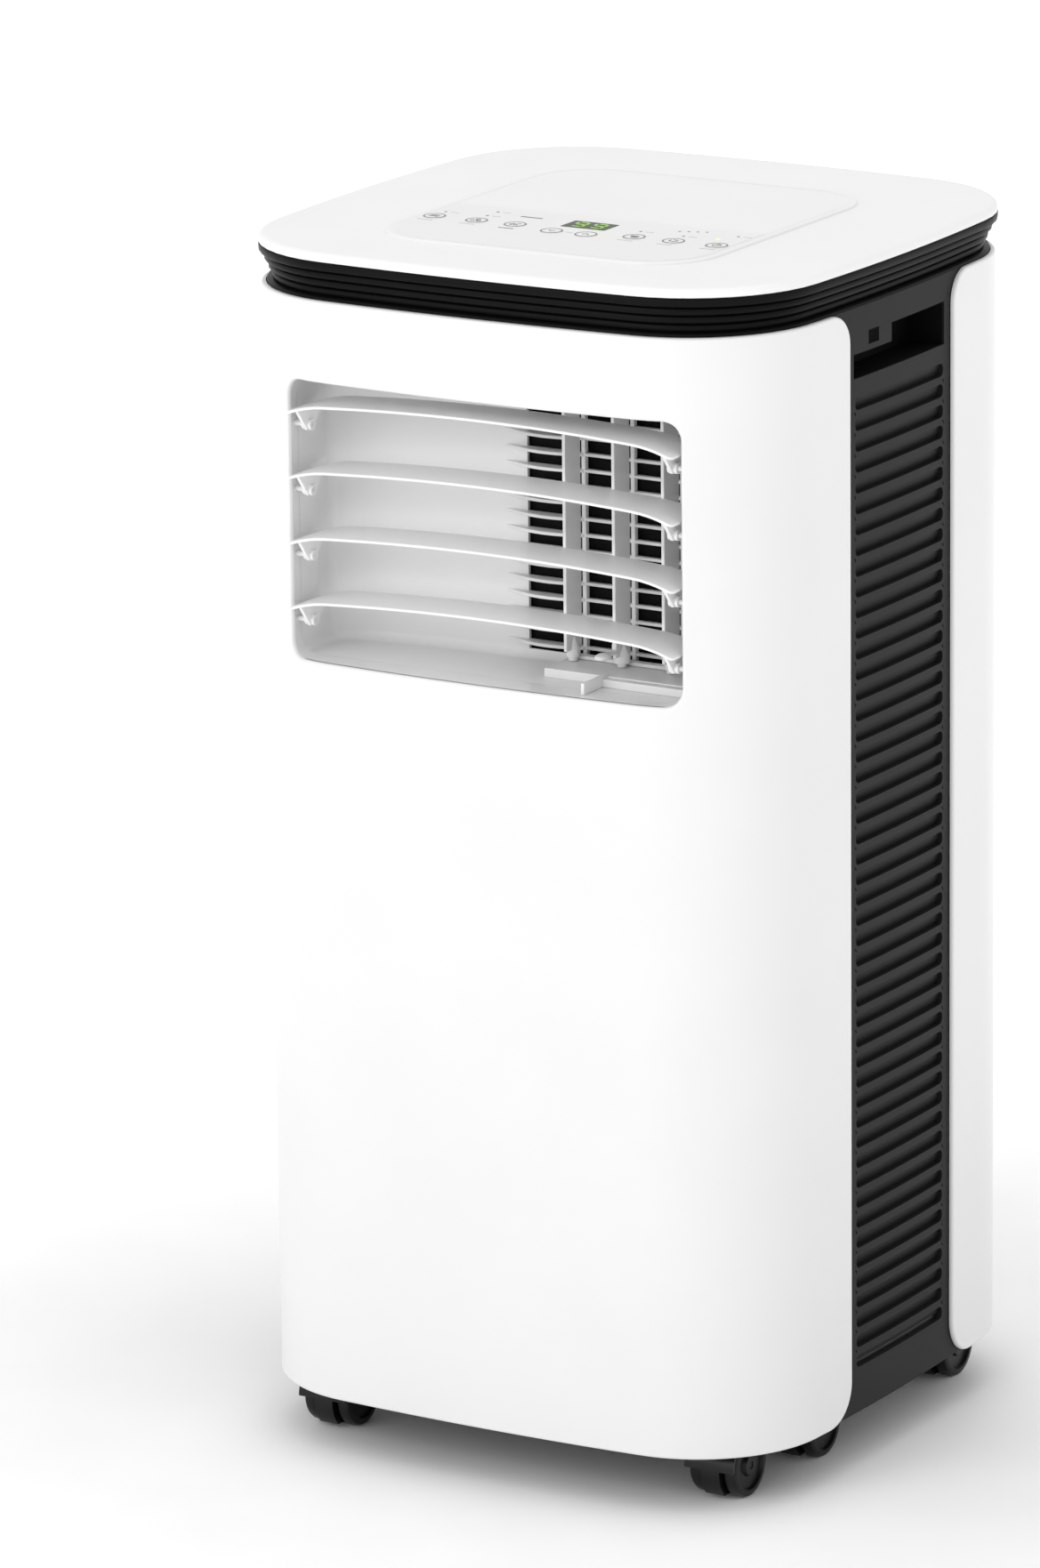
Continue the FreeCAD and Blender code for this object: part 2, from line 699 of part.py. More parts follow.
def build_trim_collar():
    """Ribbed collar between the covers and the lid."""
    inner = "collar_width"
    waist_top = f"({COLLAR_TOP} - collar_lip_height)"
    shoulder_top = f"({COVER_TOP} + collar_shoulder)"
    rings = [
        outline_ring("collar_shoulder_inset", inner, COVER_TOP, shoulder_top),
        outline_ring("collar_waist_inset", inner, f"{shoulder_top} - 0.5", f"{waist_top} + 0.5"),
        outline_ring("-lid_overhang", inner, waist_top, COLLAR_TOP),
    ]
    for index in range(3):
        top = f"({waist_top} - {index} * collar_rib_pitch - 1.6)"
        rings.append(outline_ring("collar_rib_inset", "collar_waist_inset + 0.5",
                                  f"{top} - collar_rib_height", top))
    node("trim_collar", fuse(*rings))


def build_top_lid():
    """Lid with holes for the keys and the display, and posts for the circuit board."""
    body = new_body("top_lid")
    plate = new_sketch(body, "XY_Plane", COLLAR_TOP)
    draw_outline(plate, "-lid_overhang")
    pad(body, plate, "lid_height")
    hollow = new_sketch(body, "XY_Plane", COLLAR_TOP)
    draw_outline(hollow, "collar_width - 2")
    pocket(body, hollow, "lid_height - lid_skin", reverse=True)
    holes = new_sketch(body, "XY_Plane", LID_TOP)
    for x, y in KEY_PLACES.values():
        draw_circle(holes, x, y, "key_radius + key_flange + 0.3")
    pocket(body, holes, "lid_skin")
    window = new_sketch(body, "XY_Plane", LID_TOP)
    draw_rectangle(window, ("display_left", "display_right"), ("display_front", "display_back"))
    pocket(body, window, "lid_skin")
    posts = [rod("z", (f"{LID_TOP} - lid_skin - 1", f"{LID_TOP} - lid_skin"), (x, y), "4")
             for x in ("-80", "80") for y in ("-84", "0")]
    node("top_lid", fuse(body, *posts))


def build_control_panel():
    """Raised control panel laid on the lid."""
    body = new_body("control_panel")
    plate = new_sketch(body, "XY_Plane", LID_TOP)
    draw_round_rectangle(plate, ("-panel_half_width", "panel_half_width"),
                         ("panel_front", "panel_back"), "panel_corner")
    pad(body, plate, "panel_raise")
    holes = new_sketch(body, "XY_Plane", PANEL_TOP)
    for x, y in KEY_PLACES.values():
        draw_circle(holes, x, y, "key_radius + 0.2")
    pocket(body, holes, "panel_raise")
    window = new_sketch(body, "XY_Plane", PANEL_TOP)
    draw_rectangle(window, ("display_left + 1", "display_right - 1"),
                   ("display_front + 1", "display_back - 1"))
    pocket(body, window, "panel_raise")
    node("control_panel", body)


def build_keys():
    """Round keys, each held under the panel by its flange."""
    for name, (x, y) in KEY_PLACES.items():
        cap = rod("z", (f"{LID_TOP} - 0.3 - key_flange", f"{PANEL_TOP} + key_stand"), (x, y), "key_radius")
        flange = rod("z", (f"{LID_TOP} - 0.3 - key_flange", f"{LID_TOP} - 0.3"), (x, y),
                     "key_radius + key_flange")
        node(name, fuse(cap, flange))


def build_display_and_board():
    """Display window and the circuit board with its switches."""
    window = box(("display_left + 1 + 0.1", "display_right - 1 - 0.1"),
                 ("display_front + 1 + 0.1", "display_back - 1 - 0.1"), (f"{LID_TOP} - 0.5", PANEL_TOP))
    node("display_window", window)
    top = f"({LID_TOP} - lid_skin - 1)"
    board = box(("-95", "95"), ("-92", "8"), (f"{top} - board_size", top))
    module = box(("display_left + 1", "display_right - 1"), ("display_front + 1", "display_back - 1"),
                 (f"{top} - 0.2", f"{LID_TOP} - 0.5"))
    switch_top = f"{LID_TOP} - 0.3 - key_flange - key_travel - 0.1"
    switches = [rod("z", (f"{top} - 0.2", switch_top), (x, y), "2.5") for x, y in KEY_PLACES.values()]
    node("control_board", fuse(board, module, *switches))


# ---------------------------------------------------------------- air outlet

def slat_level(index):
    """Height of a slat's pivot, counted from the top."""
    return f"(outlet_high - slat_axis_top - {index} * slat_pitch)"


def closed_slat(level):
    """Slat skin in its closed place: a strip of the cabinet outline."""
    end = "(outlet_half - slat_end_gap)"
    skin = outline_ring("0", "slat_skin", f"{level} - slat_below", f"{level} + slat_above")
    strip = box((f"-{end}", end), ("-body_depth", f"-body_depth / 2 + slat_axis_back"),
                ("0", f"{COVER_TOP}"))
    return common(skin, strip)


def build_slats():
    """Horizontal outlet slats, drawn shut and then swung open about their pins."""
    open_turn = Rotation(Vector(1, 0, 0), -90)
    end = "(outlet_half + wall_size / 2 + 0.5)"
    for index in range(int(number("slat_count"))):
        level = slat_level(index)
        pieces = [closed_slat(level)]
        for side in (-1, 1):
            ear = new_body("Ear")
            sketch = new_sketch(ear, "YZ_Plane", f"({side}) * {EAR_PLACE} - ear_size / 2")
            points = [
                ("-body_depth / 2", f"{level} + 13"),
                ("-body_depth / 2", f"{level} - 9"),
                (f"{SLAT_AXIS_Y} + 1.5", f"{level} - 3"),
                (f"{SLAT_AXIS_Y} + 3", f"{level} + 1.5"),
            ]
            if side > 0:
                points = [
                    ("-body_depth / 2", f"{level} + slat_above - 1"),
                    ("-body_depth / 2", f"{level} - 9"),
                    (f"{SLAT_AXIS_Y} + 1.5", f"{level} - 3"),
                    (f"{SLAT_AXIS_Y} + 3", f"{level} + 1.5"),
                    (f"{SLAT_AXIS_Y} + crank_drop + 2.4", f"{level} + crank_reach - 1"),
                    (f"{SLAT_AXIS_Y} + crank_drop", f"{level} + crank_reach + 2.4"),
                    (f"{SLAT_AXIS_Y} + crank_drop - 2.4", f"{level} + crank_reach"),
                ]
            draw_polygon(sketch, points)
            pad(ear, sketch, "ear_size")
            ear = common(ear, outline_prism("slat_skin / 2", f"{level} - 20", f"{level} + 40"))
            start = f"({EAR_PLACE} - ear_size / 2)"
            span = (start, end) if side > 0 else (f"-{end}", f"-{start}")
            pieces.append(ear)
            pieces.append(rod("x", span, (SLAT_AXIS_Y, level), "slat_pin_radius"))
        pieces.append(rod("x", (EAR_PLACE, f"{EAR_PLACE} + 5.5"),
                          (f"{SLAT_AXIS_Y} + crank_drop", f"{level} + crank_reach"), "crank_pin_radius"))
        slat = fuse(*pieces)
        doc.recompute()
        centre = Vector(0, number(SLAT_AXIS_Y), number(level))
        slat.Placement = Placement(Vector(), open_turn, centre)
        node(f"louvre_{index + 1}", slat)


def build_slat_link():
    """Bar that joins the slats' cranks so that they turn together."""
    y = f"({SLAT_AXIS_Y} + crank_reach)"
    first, last = slat_level(0), slat_level(int(number("slat_count")) - 1)
    bar = box((f"{EAR_PLACE} + 2.5", f"{EAR_PLACE} + 4.5"),
              (f"{y} - link_width / 2", f"{y} + link_width / 2"),
              (f"{last} - crank_drop - 2.4", f"{first} - crank_drop + 2.4"))
    holes = [rod("x", (f"{EAR_PLACE} + 1", f"{EAR_PLACE} + 6"), (y, f"{slat_level(index)} - crank_drop"),
                 "crank_pin_radius + pin_gap") for index in range(int(number("slat_count")))]
    node("louvre_link", cut(bar, *holes))


def swept_wall(offset):
    """Plan curve of the duct's left and rear wall, moved outwards."""
    left = -number("outlet_half") - offset
    bend = number("duct_bend")
    back = number("duct_back") + offset
    right = number("outlet_half") + offset
    start = Vector(left, bend, 0)
    end = Vector(number("window_left"), back, 0)
    curve = Part.BezierCurve()
    curve.setPoles([start, Vector(left, bend + 17 + offset / 2, 0), Vector(left + 60, back - 1, 0), end])
    return curve.toShape(), start, end, Vector(right, back, 0)


def duct_plan(offset, inset, low, high):
    """Upright block of the duct's plan shape, its front following the cabinet."""
    curve, start, end, corner = swept_wall(offset)
    front = -number("body_depth")
    edges = [
        curve,
        Part.makeLine(end, corner),
        Part.makeLine(corner, Vector(corner.x, front, 0)),
        Part.makeLine(Vector(corner.x, front, 0), Vector(start.x, front, 0)),
        Part.makeLine(Vector(start.x, front, 0), start),
    ]
    face = Part.Face(Part.Wire(edges))
    block = doc.addObject("Part::Feature", "DuctBlock")
    block.Shape = face.extrude(Vector(0, 0, number(high) - number(low)))
    block.Placement = Placement(Vector(0, 0, number(low)), Rotation())
    if inset is None:
        return block
    return common(block, outline_prism(inset, low, high))


def build_outlet_duct():
    """Duct behind the outlet: swept left wall, rear window, vane rail and air splitter."""
    front = "return_depth - body_depth / 2 + seam_gap"
    depth = (front, f"{DUCT_BACK} + 1")
    wide = ("-outlet_half - 20", "outlet_half + 20")
    outer = common(duct_plan(number("wall_size"), None, "outlet_low - wall_size", "outlet_high + wall_size"),
                   box(wide, depth, ("0", COVER_TOP)))
    inner = duct_plan(0, None, "outlet_low", "outlet_high")
    window = box(("window_left", WINDOW_RIGHT), ("duct_back - 1", f"{DUCT_BACK} + 2"),
                 ("outlet_low + 0.7", "outlet_high - 3.8"))
    rail = box(("rail_left", "outlet_half"), ("rail_front", "rail_back"),
               ("outlet_low - 1", "outlet_low + rail_height"))
    splitter = box(("vane_middle + 4", "vane_middle + 7"), ("-body_depth / 2 + return_depth + seam_gap",
                   "rail_front + 1"), ("outlet_low - 1", "outlet_low + 4.5"))
    shell = fuse(cut(outer, inner, window), rail, splitter)
    pivots = []
    for x in vane_places():
        pivots.append(rod("z", ("outlet_low - wall_size / 2", "outlet_high + wall_size / 2"),
                          (x, "vane_axis"), "slat_pin_radius + pin_gap"))
    node("outlet_duct", cut(shell, *pivots))


def vane_places():
    """Places of the three upright vanes across the duct."""
    return [f"(vane_middle + ({step}) * vane_pitch)" for step in (-1, 0, 1)]


def build_vanes():
    """Upright vanes on pegs, with a tie bar under them."""
    bottom = "(outlet_low + rail_height + 2.6)"
    top = "(outlet_high - 2)"
    for name, x in zip(("vane_left", "vane_middle", "vane_right"), vane_places()):
        blade = box((f"{x} - vane_skin / 2", f"{x} + vane_skin / 2"),
                    ("vane_axis - vane_front", "vane_axis + vane_rear"), (bottom, top))
        spine = rod("z", (bottom, top), (x, "vane_axis"), "vane_skin")
        low_peg = rod("z", ("outlet_low - wall_size / 2 + 0.5", f"{bottom} + 0.5"), (x, "vane_axis"),
                      "slat_pin_radius")
        high_peg = rod("z", (f"{top} - 0.5", "outlet_high + wall_size / 2 - 0.3"), (x, "vane_axis"),
                       "slat_pin_radius")
        crank = rod("z", ("outlet_low + rail_height + 0.5", f"{bottom} + 0.5"),
                    (x, "vane_axis + vane_crank"), "crank_pin_radius")
        pieces = [blade, spine, low_peg, high_peg, crank]
        if name == "vane_middle":
            lever = box((f"{x} - vane_skin / 2", f"{x} + vane_skin / 2"),
                        ("vane_axis - lever_reach", "vane_axis - vane_front + 0.5"),
                        (f"{bottom} + lever_low", f"{bottom} + lever_high"))
            grip = rod("z", (f"{bottom} + lever_low - 3", f"{bottom} + lever_high + 3"),
                       (x, "vane_axis - lever_reach"), "grip_radius")
            pieces += [lever, grip]
        node(name, fuse(*pieces))
    left, middle, right = vane_places()
    y = "(vane_axis + vane_crank)"
    bar = box((f"{left} - 2.5", f"{right} + 2.5"), (f"{y} - 2.2", f"{y} + 2.2"),
              ("outlet_low + rail_height + 0.4", "outlet_low + rail_height + 2.2"))
    holes = [rod("z", ("outlet_low", "outlet_high"), (x, y), "crank_pin_radius + pin_gap")
             for x in (left, middle, right)]
    node("vane_link", cut(bar, *holes))


def build_outlet_grille():
    """Safety grille in the duct's rear window."""
    body = new_body("outlet_grille")
    left = "(window_left + seam_gap)"
    right = f"({WINDOW_RIGHT} - seam_gap)"
    low = "(outlet_low + 0.7 + seam_gap)"
    high = "(outlet_high - 3.8 - seam_gap)"
    frame = new_sketch(body, "XZ_Plane", "-(duct_back + grille_depth - seam_gap)")
    draw_rectangle(frame, (left, right), (low, high))
    draw_rectangle(frame, (f"{left} + grille_bar", f"{right} - grille_bar"),
                   (f"{low} + grille_bar", f"{high} - grille_bar"))
    pad(body, frame, "grille_depth - 0.8")
    posts = new_sketch(body, "XZ_Plane", "-(duct_back + grille_depth - seam_gap)")
    for x in vane_places():
        draw_rectangle(posts, (f"{x} - grille_bar / 2", f"{x} + grille_bar / 2"),
                       (f"{low} + 0.5", f"{high} - 0.5"))
    pad(body, posts, "grille_depth - 0.8")
    bars = new_sketch(body, "XZ_Plane", "-(duct_back + grille_depth - seam_gap)")
    draw_rectangle(bars, (f"{left} + 0.5", f"{right} - 0.5"),
                   (f"{low} + grille_pitch", f"{low} + grille_pitch + grille_bar"))
    bar = pad(body, bars, "grille_depth - 0.8")
    clear_height = f"({high} - {low} - 2 * grille_bar)"
    row_of(body, bar, bars, "V_Axis", f"floor({clear_height} / grille_pitch - 1) * grille_pitch",
           f"floor({clear_height} / grille_pitch)")
    node("outlet_grille", body)


# ---------------------------------------------------------------- cooling unit

def scroll_body(name, centre_y, centre_z, radius, mouth, half_span, mouth_half):
    """Blower housing along X with its mouth towards mouth, a formula along Y."""
    body = new_body(name)
    sketch = new_sketch(body, "YZ_Plane", half_span[0])
    draw_scroll(sketch, centre_y, centre_z, radius, mouth, mouth_half)
    pad(body, sketch, f"({half_span[1]}) - ({half_span[0]})")
    hollow = new_sketch(body, "YZ_Plane", f"({half_span[0]}) + scroll_skin")
    direction = 1 if number(mouth) > number(centre_y) else -1
    draw_scroll(hollow, centre_y, centre_z, f"({radius}) - scroll_skin",
                f"({mouth}) + ({direction}) * 5", f"({mouth_half}) - scroll_skin")
    pocket(body, hollow, f"({half_span[1]}) - ({half_span[0]}) - 2 * scroll_skin", reverse=True)
    return body


def draw_scroll(sketch, centre_y, centre_z, radius, mouth, mouth_half):
    """Half circle closed by two straight walls that run to the mouth."""
    first = sketch.GeometryCount
    y, z, bend = number(centre_y), number(centre_z), number(radius)
    end, half = number(mouth), number(mouth_half)
    circle = Part.Circle(Vector(y, z, 0), Vector(0, 0, 1), bend)
    if end < y:
        sketch.addGeometry(Part.ArcOfCircle(circle, -math.pi / 2, math.pi / 2), False)
        spots = [Vector(y, z + bend, 0), Vector(end, z + half, 0),
                 Vector(end, z - half, 0), Vector(y, z - bend, 0)]
        heights = (f"({centre_z}) + ({mouth_half})", f"({centre_z}) - ({mouth_half})")
    else:
        sketch.addGeometry(Part.ArcOfCircle(circle, math.pi / 2, 3 * math.pi / 2), False)
        spots = [Vector(y, z - bend, 0), Vector(end, z - half, 0),
                 Vector(end, z + half, 0), Vector(y, z + bend, 0)]
        heights = (f"({centre_z}) - ({mouth_half})", f"({centre_z}) + ({mouth_half})")
    for start, stop in zip(spots, spots[1:]):
        sketch.addGeometry(Part.LineSegment(start, stop), False)
    for index in range(4):
        after = first + (index + 1) % 4
        sketch.addConstraint(Sketcher.Constraint("Coincident", first + index, 2, after, 1))
    constrain(sketch, centre_y, "DistanceX", -1, 1, first, 3)
    constrain(sketch, centre_z, "DistanceY", -1, 1, first, 3)
    constrain(sketch, radius, "Radius", first)
    constrain(sketch, centre_y, "DistanceX", -1, 1, first, 1)
    constrain(sketch, centre_y, "DistanceX", -1, 1, first, 2)
    constrain(sketch, mouth, "DistanceX", -1, 1, first + 2, 1)
    constrain(sketch, mouth, "DistanceX", -1, 1, first + 2, 2)
    constrain(sketch, heights[0], "DistanceY", -1, 1, first + 2, 1)
    constrain(sketch, heights[1], "DistanceY", -1, 1, first + 2, 2)


def build_fan_wheel(name, radius, low, high, motor_low, centre_y, centre_z):
    """Squirrel-cage wheel on its shaft; the shaft runs into the motor on its left."""
    body = new_body(name)
    plate = new_sketch(body, "YZ_Plane", low)
    draw_circle(plate, "0", "0", radius)
    pad(body, plate, "3")
    hub = new_sketch(body, "YZ_Plane", low)
    draw_circle(hub, "0", "0", "2.5 * shaft_radius")
    pad(body, hub, "20")
    rim = new_sketch(body, "YZ_Plane", f"({high}) - 4")
    draw_circle(rim, "0", "0", radius)
    draw_circle(rim, "0", "0", f"({radius}) - 9")
    pad(body, rim, "4")
    blade = new_sketch(body, "YZ_Plane", f"({low}) + 2")
    draw_polygon(blade, [(f"({radius}) - 9", "-2"), (f"({radius}) - 0.5", "1.5"),
                         (f"({radius}) - 0.5", "3"), (f"({radius}) - 9", "-0.5")])
    blades = pad(body, blade, f"({high}) - ({low}) - 4")
    ring_of(body, blades, blade, "blade_count")
    shaft = new_sketch(body, "YZ_Plane", motor_low)
    draw_circle(shaft, "0", "0", "shaft_radius")
    pad(body, shaft, f"({low}) + 1 - ({motor_low})")
    node(name, placed(body, "0", centre_y, centre_z))


def build_motor(name, face, centre_y, centre_z):
    """Motor bolted to the left of a blower housing."""
    can = rod("x", (f"({face}) - motor_length", face), (centre_y, centre_z), "motor_radius")
    cap = rod("x", (f"({face}) - motor_length - 5", f"({face}) - motor_length"),
              (centre_y, centre_z), "motor_radius * 0.5")
    bore = rod("x", (f"({face}) - motor_length + 6", f"({face}) + 1"), (centre_y, centre_z),
               "shaft_radius + pin_gap")
    node(name, cut(fuse(can, cap), bore))


def build_upper_blower():
    """Room-air blower that feeds the outlet duct."""
    mouth_half = "(outlet_high - outlet_low) / 2 - 2"
    middle = "upper_fan_level"
    body = scroll_body("upper_scroll", "upper_fan_depth", middle, "upper_scroll_radius", SCROLL_FRONT,
                       (SCROLL_LEFT, SCROLL_RIGHT), mouth_half)
    inlet = rod("x", (f"{WINDOW_RIGHT} - 1", f"{SCROLL_RIGHT} + 1"), ("upper_fan_depth", middle),
                "upper_wheel_radius - 10")
    hole = rod("x", (f"{SCROLL_LEFT} - 1", "window_left + 1"), ("upper_fan_depth", middle),
               "shaft_radius + 6")
    node("upper_scroll", cut(body, inlet, hole))
    build_fan_wheel("upper_impeller", "upper_wheel_radius", "window_left + wheel_side_gap",
                    f"{WINDOW_RIGHT} - wheel_side_gap", f"{SCROLL_LEFT} - motor_length + 8",
                    "upper_fan_depth", middle)
    build_motor("upper_motor", SCROLL_LEFT, "upper_fan_depth", middle)


def build_lower_blower():
    """Condenser blower that feeds the exhaust port."""
    left, right = "(-lower_scroll_half)", "lower_scroll_half"
    body = scroll_body("lower_scroll", "lower_fan_depth", "lower_fan_level", "lower_scroll_radius",
                       LOWER_OUTLET, (left, right), "lower_scroll_radius")
    inlet = rod("x", (f"{right} - scroll_skin - 1", f"{right} + 1"), ("lower_fan_depth", "lower_fan_level"),
                "lower_wheel_radius - 10")
    hole = rod("x", (f"{left} - 1", f"{left} + scroll_skin + 1"), ("lower_fan_depth", "lower_fan_level"),
               "shaft_radius + 6")
    foot_y = ("lower_fan_depth - 20", "lower_fan_depth + 20")
    foot = box((f"{left} + 10", f"{right} - 10"), foot_y,
               (TRAY_FLOOR, "lower_fan_level - lower_scroll_radius + 1 + 4"))
    drum = rod("x", (f"{left} + 5", f"{right} - 5"), ("lower_fan_depth", "lower_fan_level"),
               "lower_scroll_radius - scroll_skin / 2")
    core = box((f"{left} + 13", f"{right} - 13"), ("lower_fan_depth - 17", "lower_fan_depth + 17"),
               (f"{TRAY_FLOOR} - 1", "lower_fan_level"))
    node("lower_scroll", fuse(cut(body, inlet, hole), cut(foot, drum, core)))
    build_fan_wheel("lower_impeller", "lower_wheel_radius", f"{left} + scroll_skin + wheel_side_gap",
                    f"{right} - scroll_skin - wheel_side_gap", f"{left} - motor_length + 8",
                    "lower_fan_depth", "lower_fan_level")
    build_motor("lower_motor", left, "lower_fan_depth", "lower_fan_level")


def condenser_tube_level(row):
    """Height of one row of condenser tubes."""
    return f"({SOCKET_TOP} + 20 + {row} * 32)"


def build_coils():
    """Evaporator on the deck and condenser on the tray, each a fin pack with tube bends."""
    deck_top = "(deck_level + deck_skin)"
    back = "(evaporator_front + coil_depth)"
    fins = box(("-evaporator_half", "evaporator_half"), ("evaporator_front", back),
               (deck_top, "evaporator_top"))
    tubes = []
    for row in range(8):
        level = f"{deck_top} + 20 + {row} * 32"
        for y in ("evaporator_front + 8", f"{back} - 8"):
            tubes.append(rod("x", ("-evaporator_half - 6", "evaporator_half + 6"), (y, level), "4"))
    node("evaporator_coil", fuse(fins, *tubes))
    side = "(condenser_left + coil_depth)"
    fins = box(("condenser_left", side), ("-condenser_half", "condenser_half"), (SOCKET_TOP, "deck_level"))
    tubes = []
    for row in range(8):
        for x in (CONDENSER_TUBE, f"{side} - 8"):
            tubes.append(rod("y", ("-condenser_half - 6", "condenser_half + 6"),
                             (x, condenser_tube_level(row)), "4"))
    node("condenser_coil", fuse(fins, *tubes))


def build_divider_deck():
    """Deck between the condenser chamber below and the evaporator chamber above."""
    body = new_body("divider_deck")
    plate = new_sketch(body, "XY_Plane", "deck_level")
    draw_outline(plate, f"{SIDE_INNER} + seam_gap")
    pad(body, plate, "deck_skin")
    hole = new_sketch(body, "XY_Plane", "deck_level + deck_skin")
    draw_circle(hole, "suction_x", "evaporator_front", "pipe_radius + 1.5")
    pocket(body, hole, "deck_skin")
    node("divider_deck", body)


def build_compressor():
    """Compressor on rubber feet with its accumulator strapped to it."""
    body = new_body("Can")
    profile = new_sketch(body, "XZ_Plane")
    foot = f"({TRAY_FLOOR} + grommet_height)"
    top = f"({foot} + compressor_height)"
    draw_polygon(profile, [
        ("0", foot), ("compressor_radius + 6", foot), ("compressor_radius + 6", f"{foot} + 3"),
        ("compressor_radius - 4", f"{foot} + 3"), ("compressor_radius", f"{foot} + 14"),
        ("compressor_radius", f"{top} - 26"), ("compressor_radius - 8", f"{top} - 10"),
        ("compressor_radius - 26", f"{top} - 1"), ("0", top),
    ])
    turn(body, profile)
    placed(body, "compressor_place", "compressor_place", "0")
    pieces = [body]
    for step in range(3):
        angle = math.radians(120 * step + 45)
        x = f"compressor_place + {math.cos(angle):.4f} * (compressor_radius - 2)"
        y = f"compressor_place + {math.sin(angle):.4f} * (compressor_radius - 2)"
        pieces.append(rod("z", (TRAY_FLOOR, f"{foot} + 1"), (x, y), "7"))
    bottle = f"(compressor_place + compressor_radius + accumulator_radius + 6)"
    low, high = f"({foot} + 30)", f"({top} - 60)"
    pieces.append(rod("z", (low, high), (bottle, "compressor_place"), "accumulator_radius"))
    pieces.append(box(("compressor_place + compressor_radius - 3", f"{bottle} - accumulator_radius + 3"),
                      ("compressor_place - 8", "compressor_place + 8"),
                      (f"({low} + {high}) / 2 - 6", f"({low} + {high}) / 2 + 6")))
    node("compressor", fuse(*pieces))


def bent_tube(points, radius, bend):
    """Tube along straight runs joined by tangent arcs."""
    edges = []
    start = points[0]
    for before, corner, after in zip(points, points[1:], points[2:]):
        inward = (corner - before).normalize()
        outward = (after - corner).normalize()
        half = inward.getAngle(outward) / 2
        setback = bend * math.tan(half)
        arc_start = corner - inward * setback
        arc_end = corner + outward * setback
        middle_way = (outward - inward).normalize()
        middle = corner + middle_way * (bend / math.cos(half) - bend)
        edges.append(Part.makeLine(start, arc_start))
        edges.append(Part.Arc(arc_start, middle, arc_end).toShape())
        start = arc_end
    edges.append(Part.makeLine(start, points[-1]))
    path = Part.Wire(edges)
    ring = Part.Wire(Part.makeCircle(radius, points[0], points[1] - points[0]))
    return path.makePipeShell([ring], True, False)


def build_pipes():
    """Discharge and suction pipes."""
    foot = number(TRAY_FLOOR) + number("grommet_height")
    top = foot + number("compressor_height")
    place = number("compressor_place")
    radius = number("pipe_radius")
    bottle_x = place + number("compressor_radius") + number("accumulator_radius") + 6
    gap = number("seam_gap")
    deck = number("deck_level")
    discharge_level = top + 20
    suction_level = top + 40
    tube_x = number(CONDENSER_TUBE)
    tube_level = number(condenser_tube_level(2))
    tube_end = -number("condenser_half") - 6 - gap
    aside = place - 30
    discharge = bent_tube([
        Vector(place, place, top + gap), Vector(place, place, discharge_level),
        Vector(place, aside, discharge_level), Vector(tube_x, aside, discharge_level),
        Vector(tube_x, aside, tube_level), Vector(tube_x, tube_end, tube_level),
    ], radius, 3 * radius)
    suction_x = number("suction_x")
    evaporator_y = number("evaporator_front")
    suction = bent_tube([
        Vector(bottle_x, place, top - 60 + gap), Vector(bottle_x, place, suction_level - 6),
        Vector(bottle_x, place + 40, suction_level - 6), Vector(suction_x, place + 60, suction_level - 6),
        Vector(suction_x, evaporator_y, suction_level - 6), Vector(suction_x, evaporator_y, deck + 120),
    ], radius, 3 * radius)
    pipes = doc.addObject("Part::Feature", "Pipes")
    pipes.Shape = Part.makeCompound([discharge, suction])
    node("refrigerant_pipes", pipes)


# ---------------------------------------------------------------- rear fittings

def build_exhaust_port():
    """Round port for the exhaust hose, on a square flange at the blower's mouth."""
    outer = "(port_bore + port_skin)"
    start = f"({LOWER_OUTLET} + seam_gap)"
    flange = box((f"-{outer}", outer), (start, f"{start} + port_skin"),
                 (f"port_level - {outer}", f"port_level + {outer}"))
    tube = rod("y", (start, "port_end"), ("0", "port_level"), outer)
    bore = rod("y", (f"{start} - 1", "port_end + 1"), ("0", "port_level"), "port_bore")
    node("exhaust_port", cut(fuse(flange, tube), bore))


def build_intake():
    """Lift-out intake: curved louvred panel, filter frame and filter mesh."""
    gap = "0.5"
    half = f"(intake_half - {gap})"
    low, high = f"(intake_low + {gap})", f"(intake_high - {gap})"
    back = ("0", "body_depth")
    panel = common(outline_ring("0", "wall_size", low, high), box((f"-{half}", half), back, (low, high)))
    slots = new_body("IntakeSlots")
    slit = new_sketch(slots, "XZ_Plane", "-body_depth / 2 - 10")
    for side in (-1, 1):
        edges = (f"-{half} + 8", "-4") if side < 0 else ("4", f"{half} - 8")
        draw_rectangle(slit, edges, (f"{low} + 10", f"{low} + 10 + intake_slot"))
    first = pad(slots, slit, "40")
    count = f"floor(({high} - {low} - 20) / intake_pitch)"
    row_of(slots, first, slit, "V_Axis", f"({count} - 1) * intake_pitch", count)
    bridge = box(("-20", "20"), ("filter_back", "body_depth / 2"), (f"{low} + 1", f"{low} + 7"))
    node("intake_grille", fuse(cut(panel, slots), common(bridge, outline_prism("1", low, high))))
    front = "(filter_back - filter_depth)"
    edge = f"({half} - 3)"
    frame = cut(
        box((f"-{edge}", edge), (front, "filter_back"), (f"{low} + 2", f"{high} - 2")),
        box((f"-{edge} + filter_border", f"{edge} - filter_border"), (f"{front} - 1", "filter_back + 1"),
            (f"{low} + 2 + filter_border", f"{high} - 2 - filter_border")),
    )
    node("filter_frame", frame)
    mesh = box((f"-{edge} + filter_border", f"{edge} - filter_border"),
               (f"{front} + 3", f"{front} + 3.8"),
               (f"{low} + 2 + filter_border", f"{high} - 2 - filter_border"))
    node("filter_mesh", mesh)


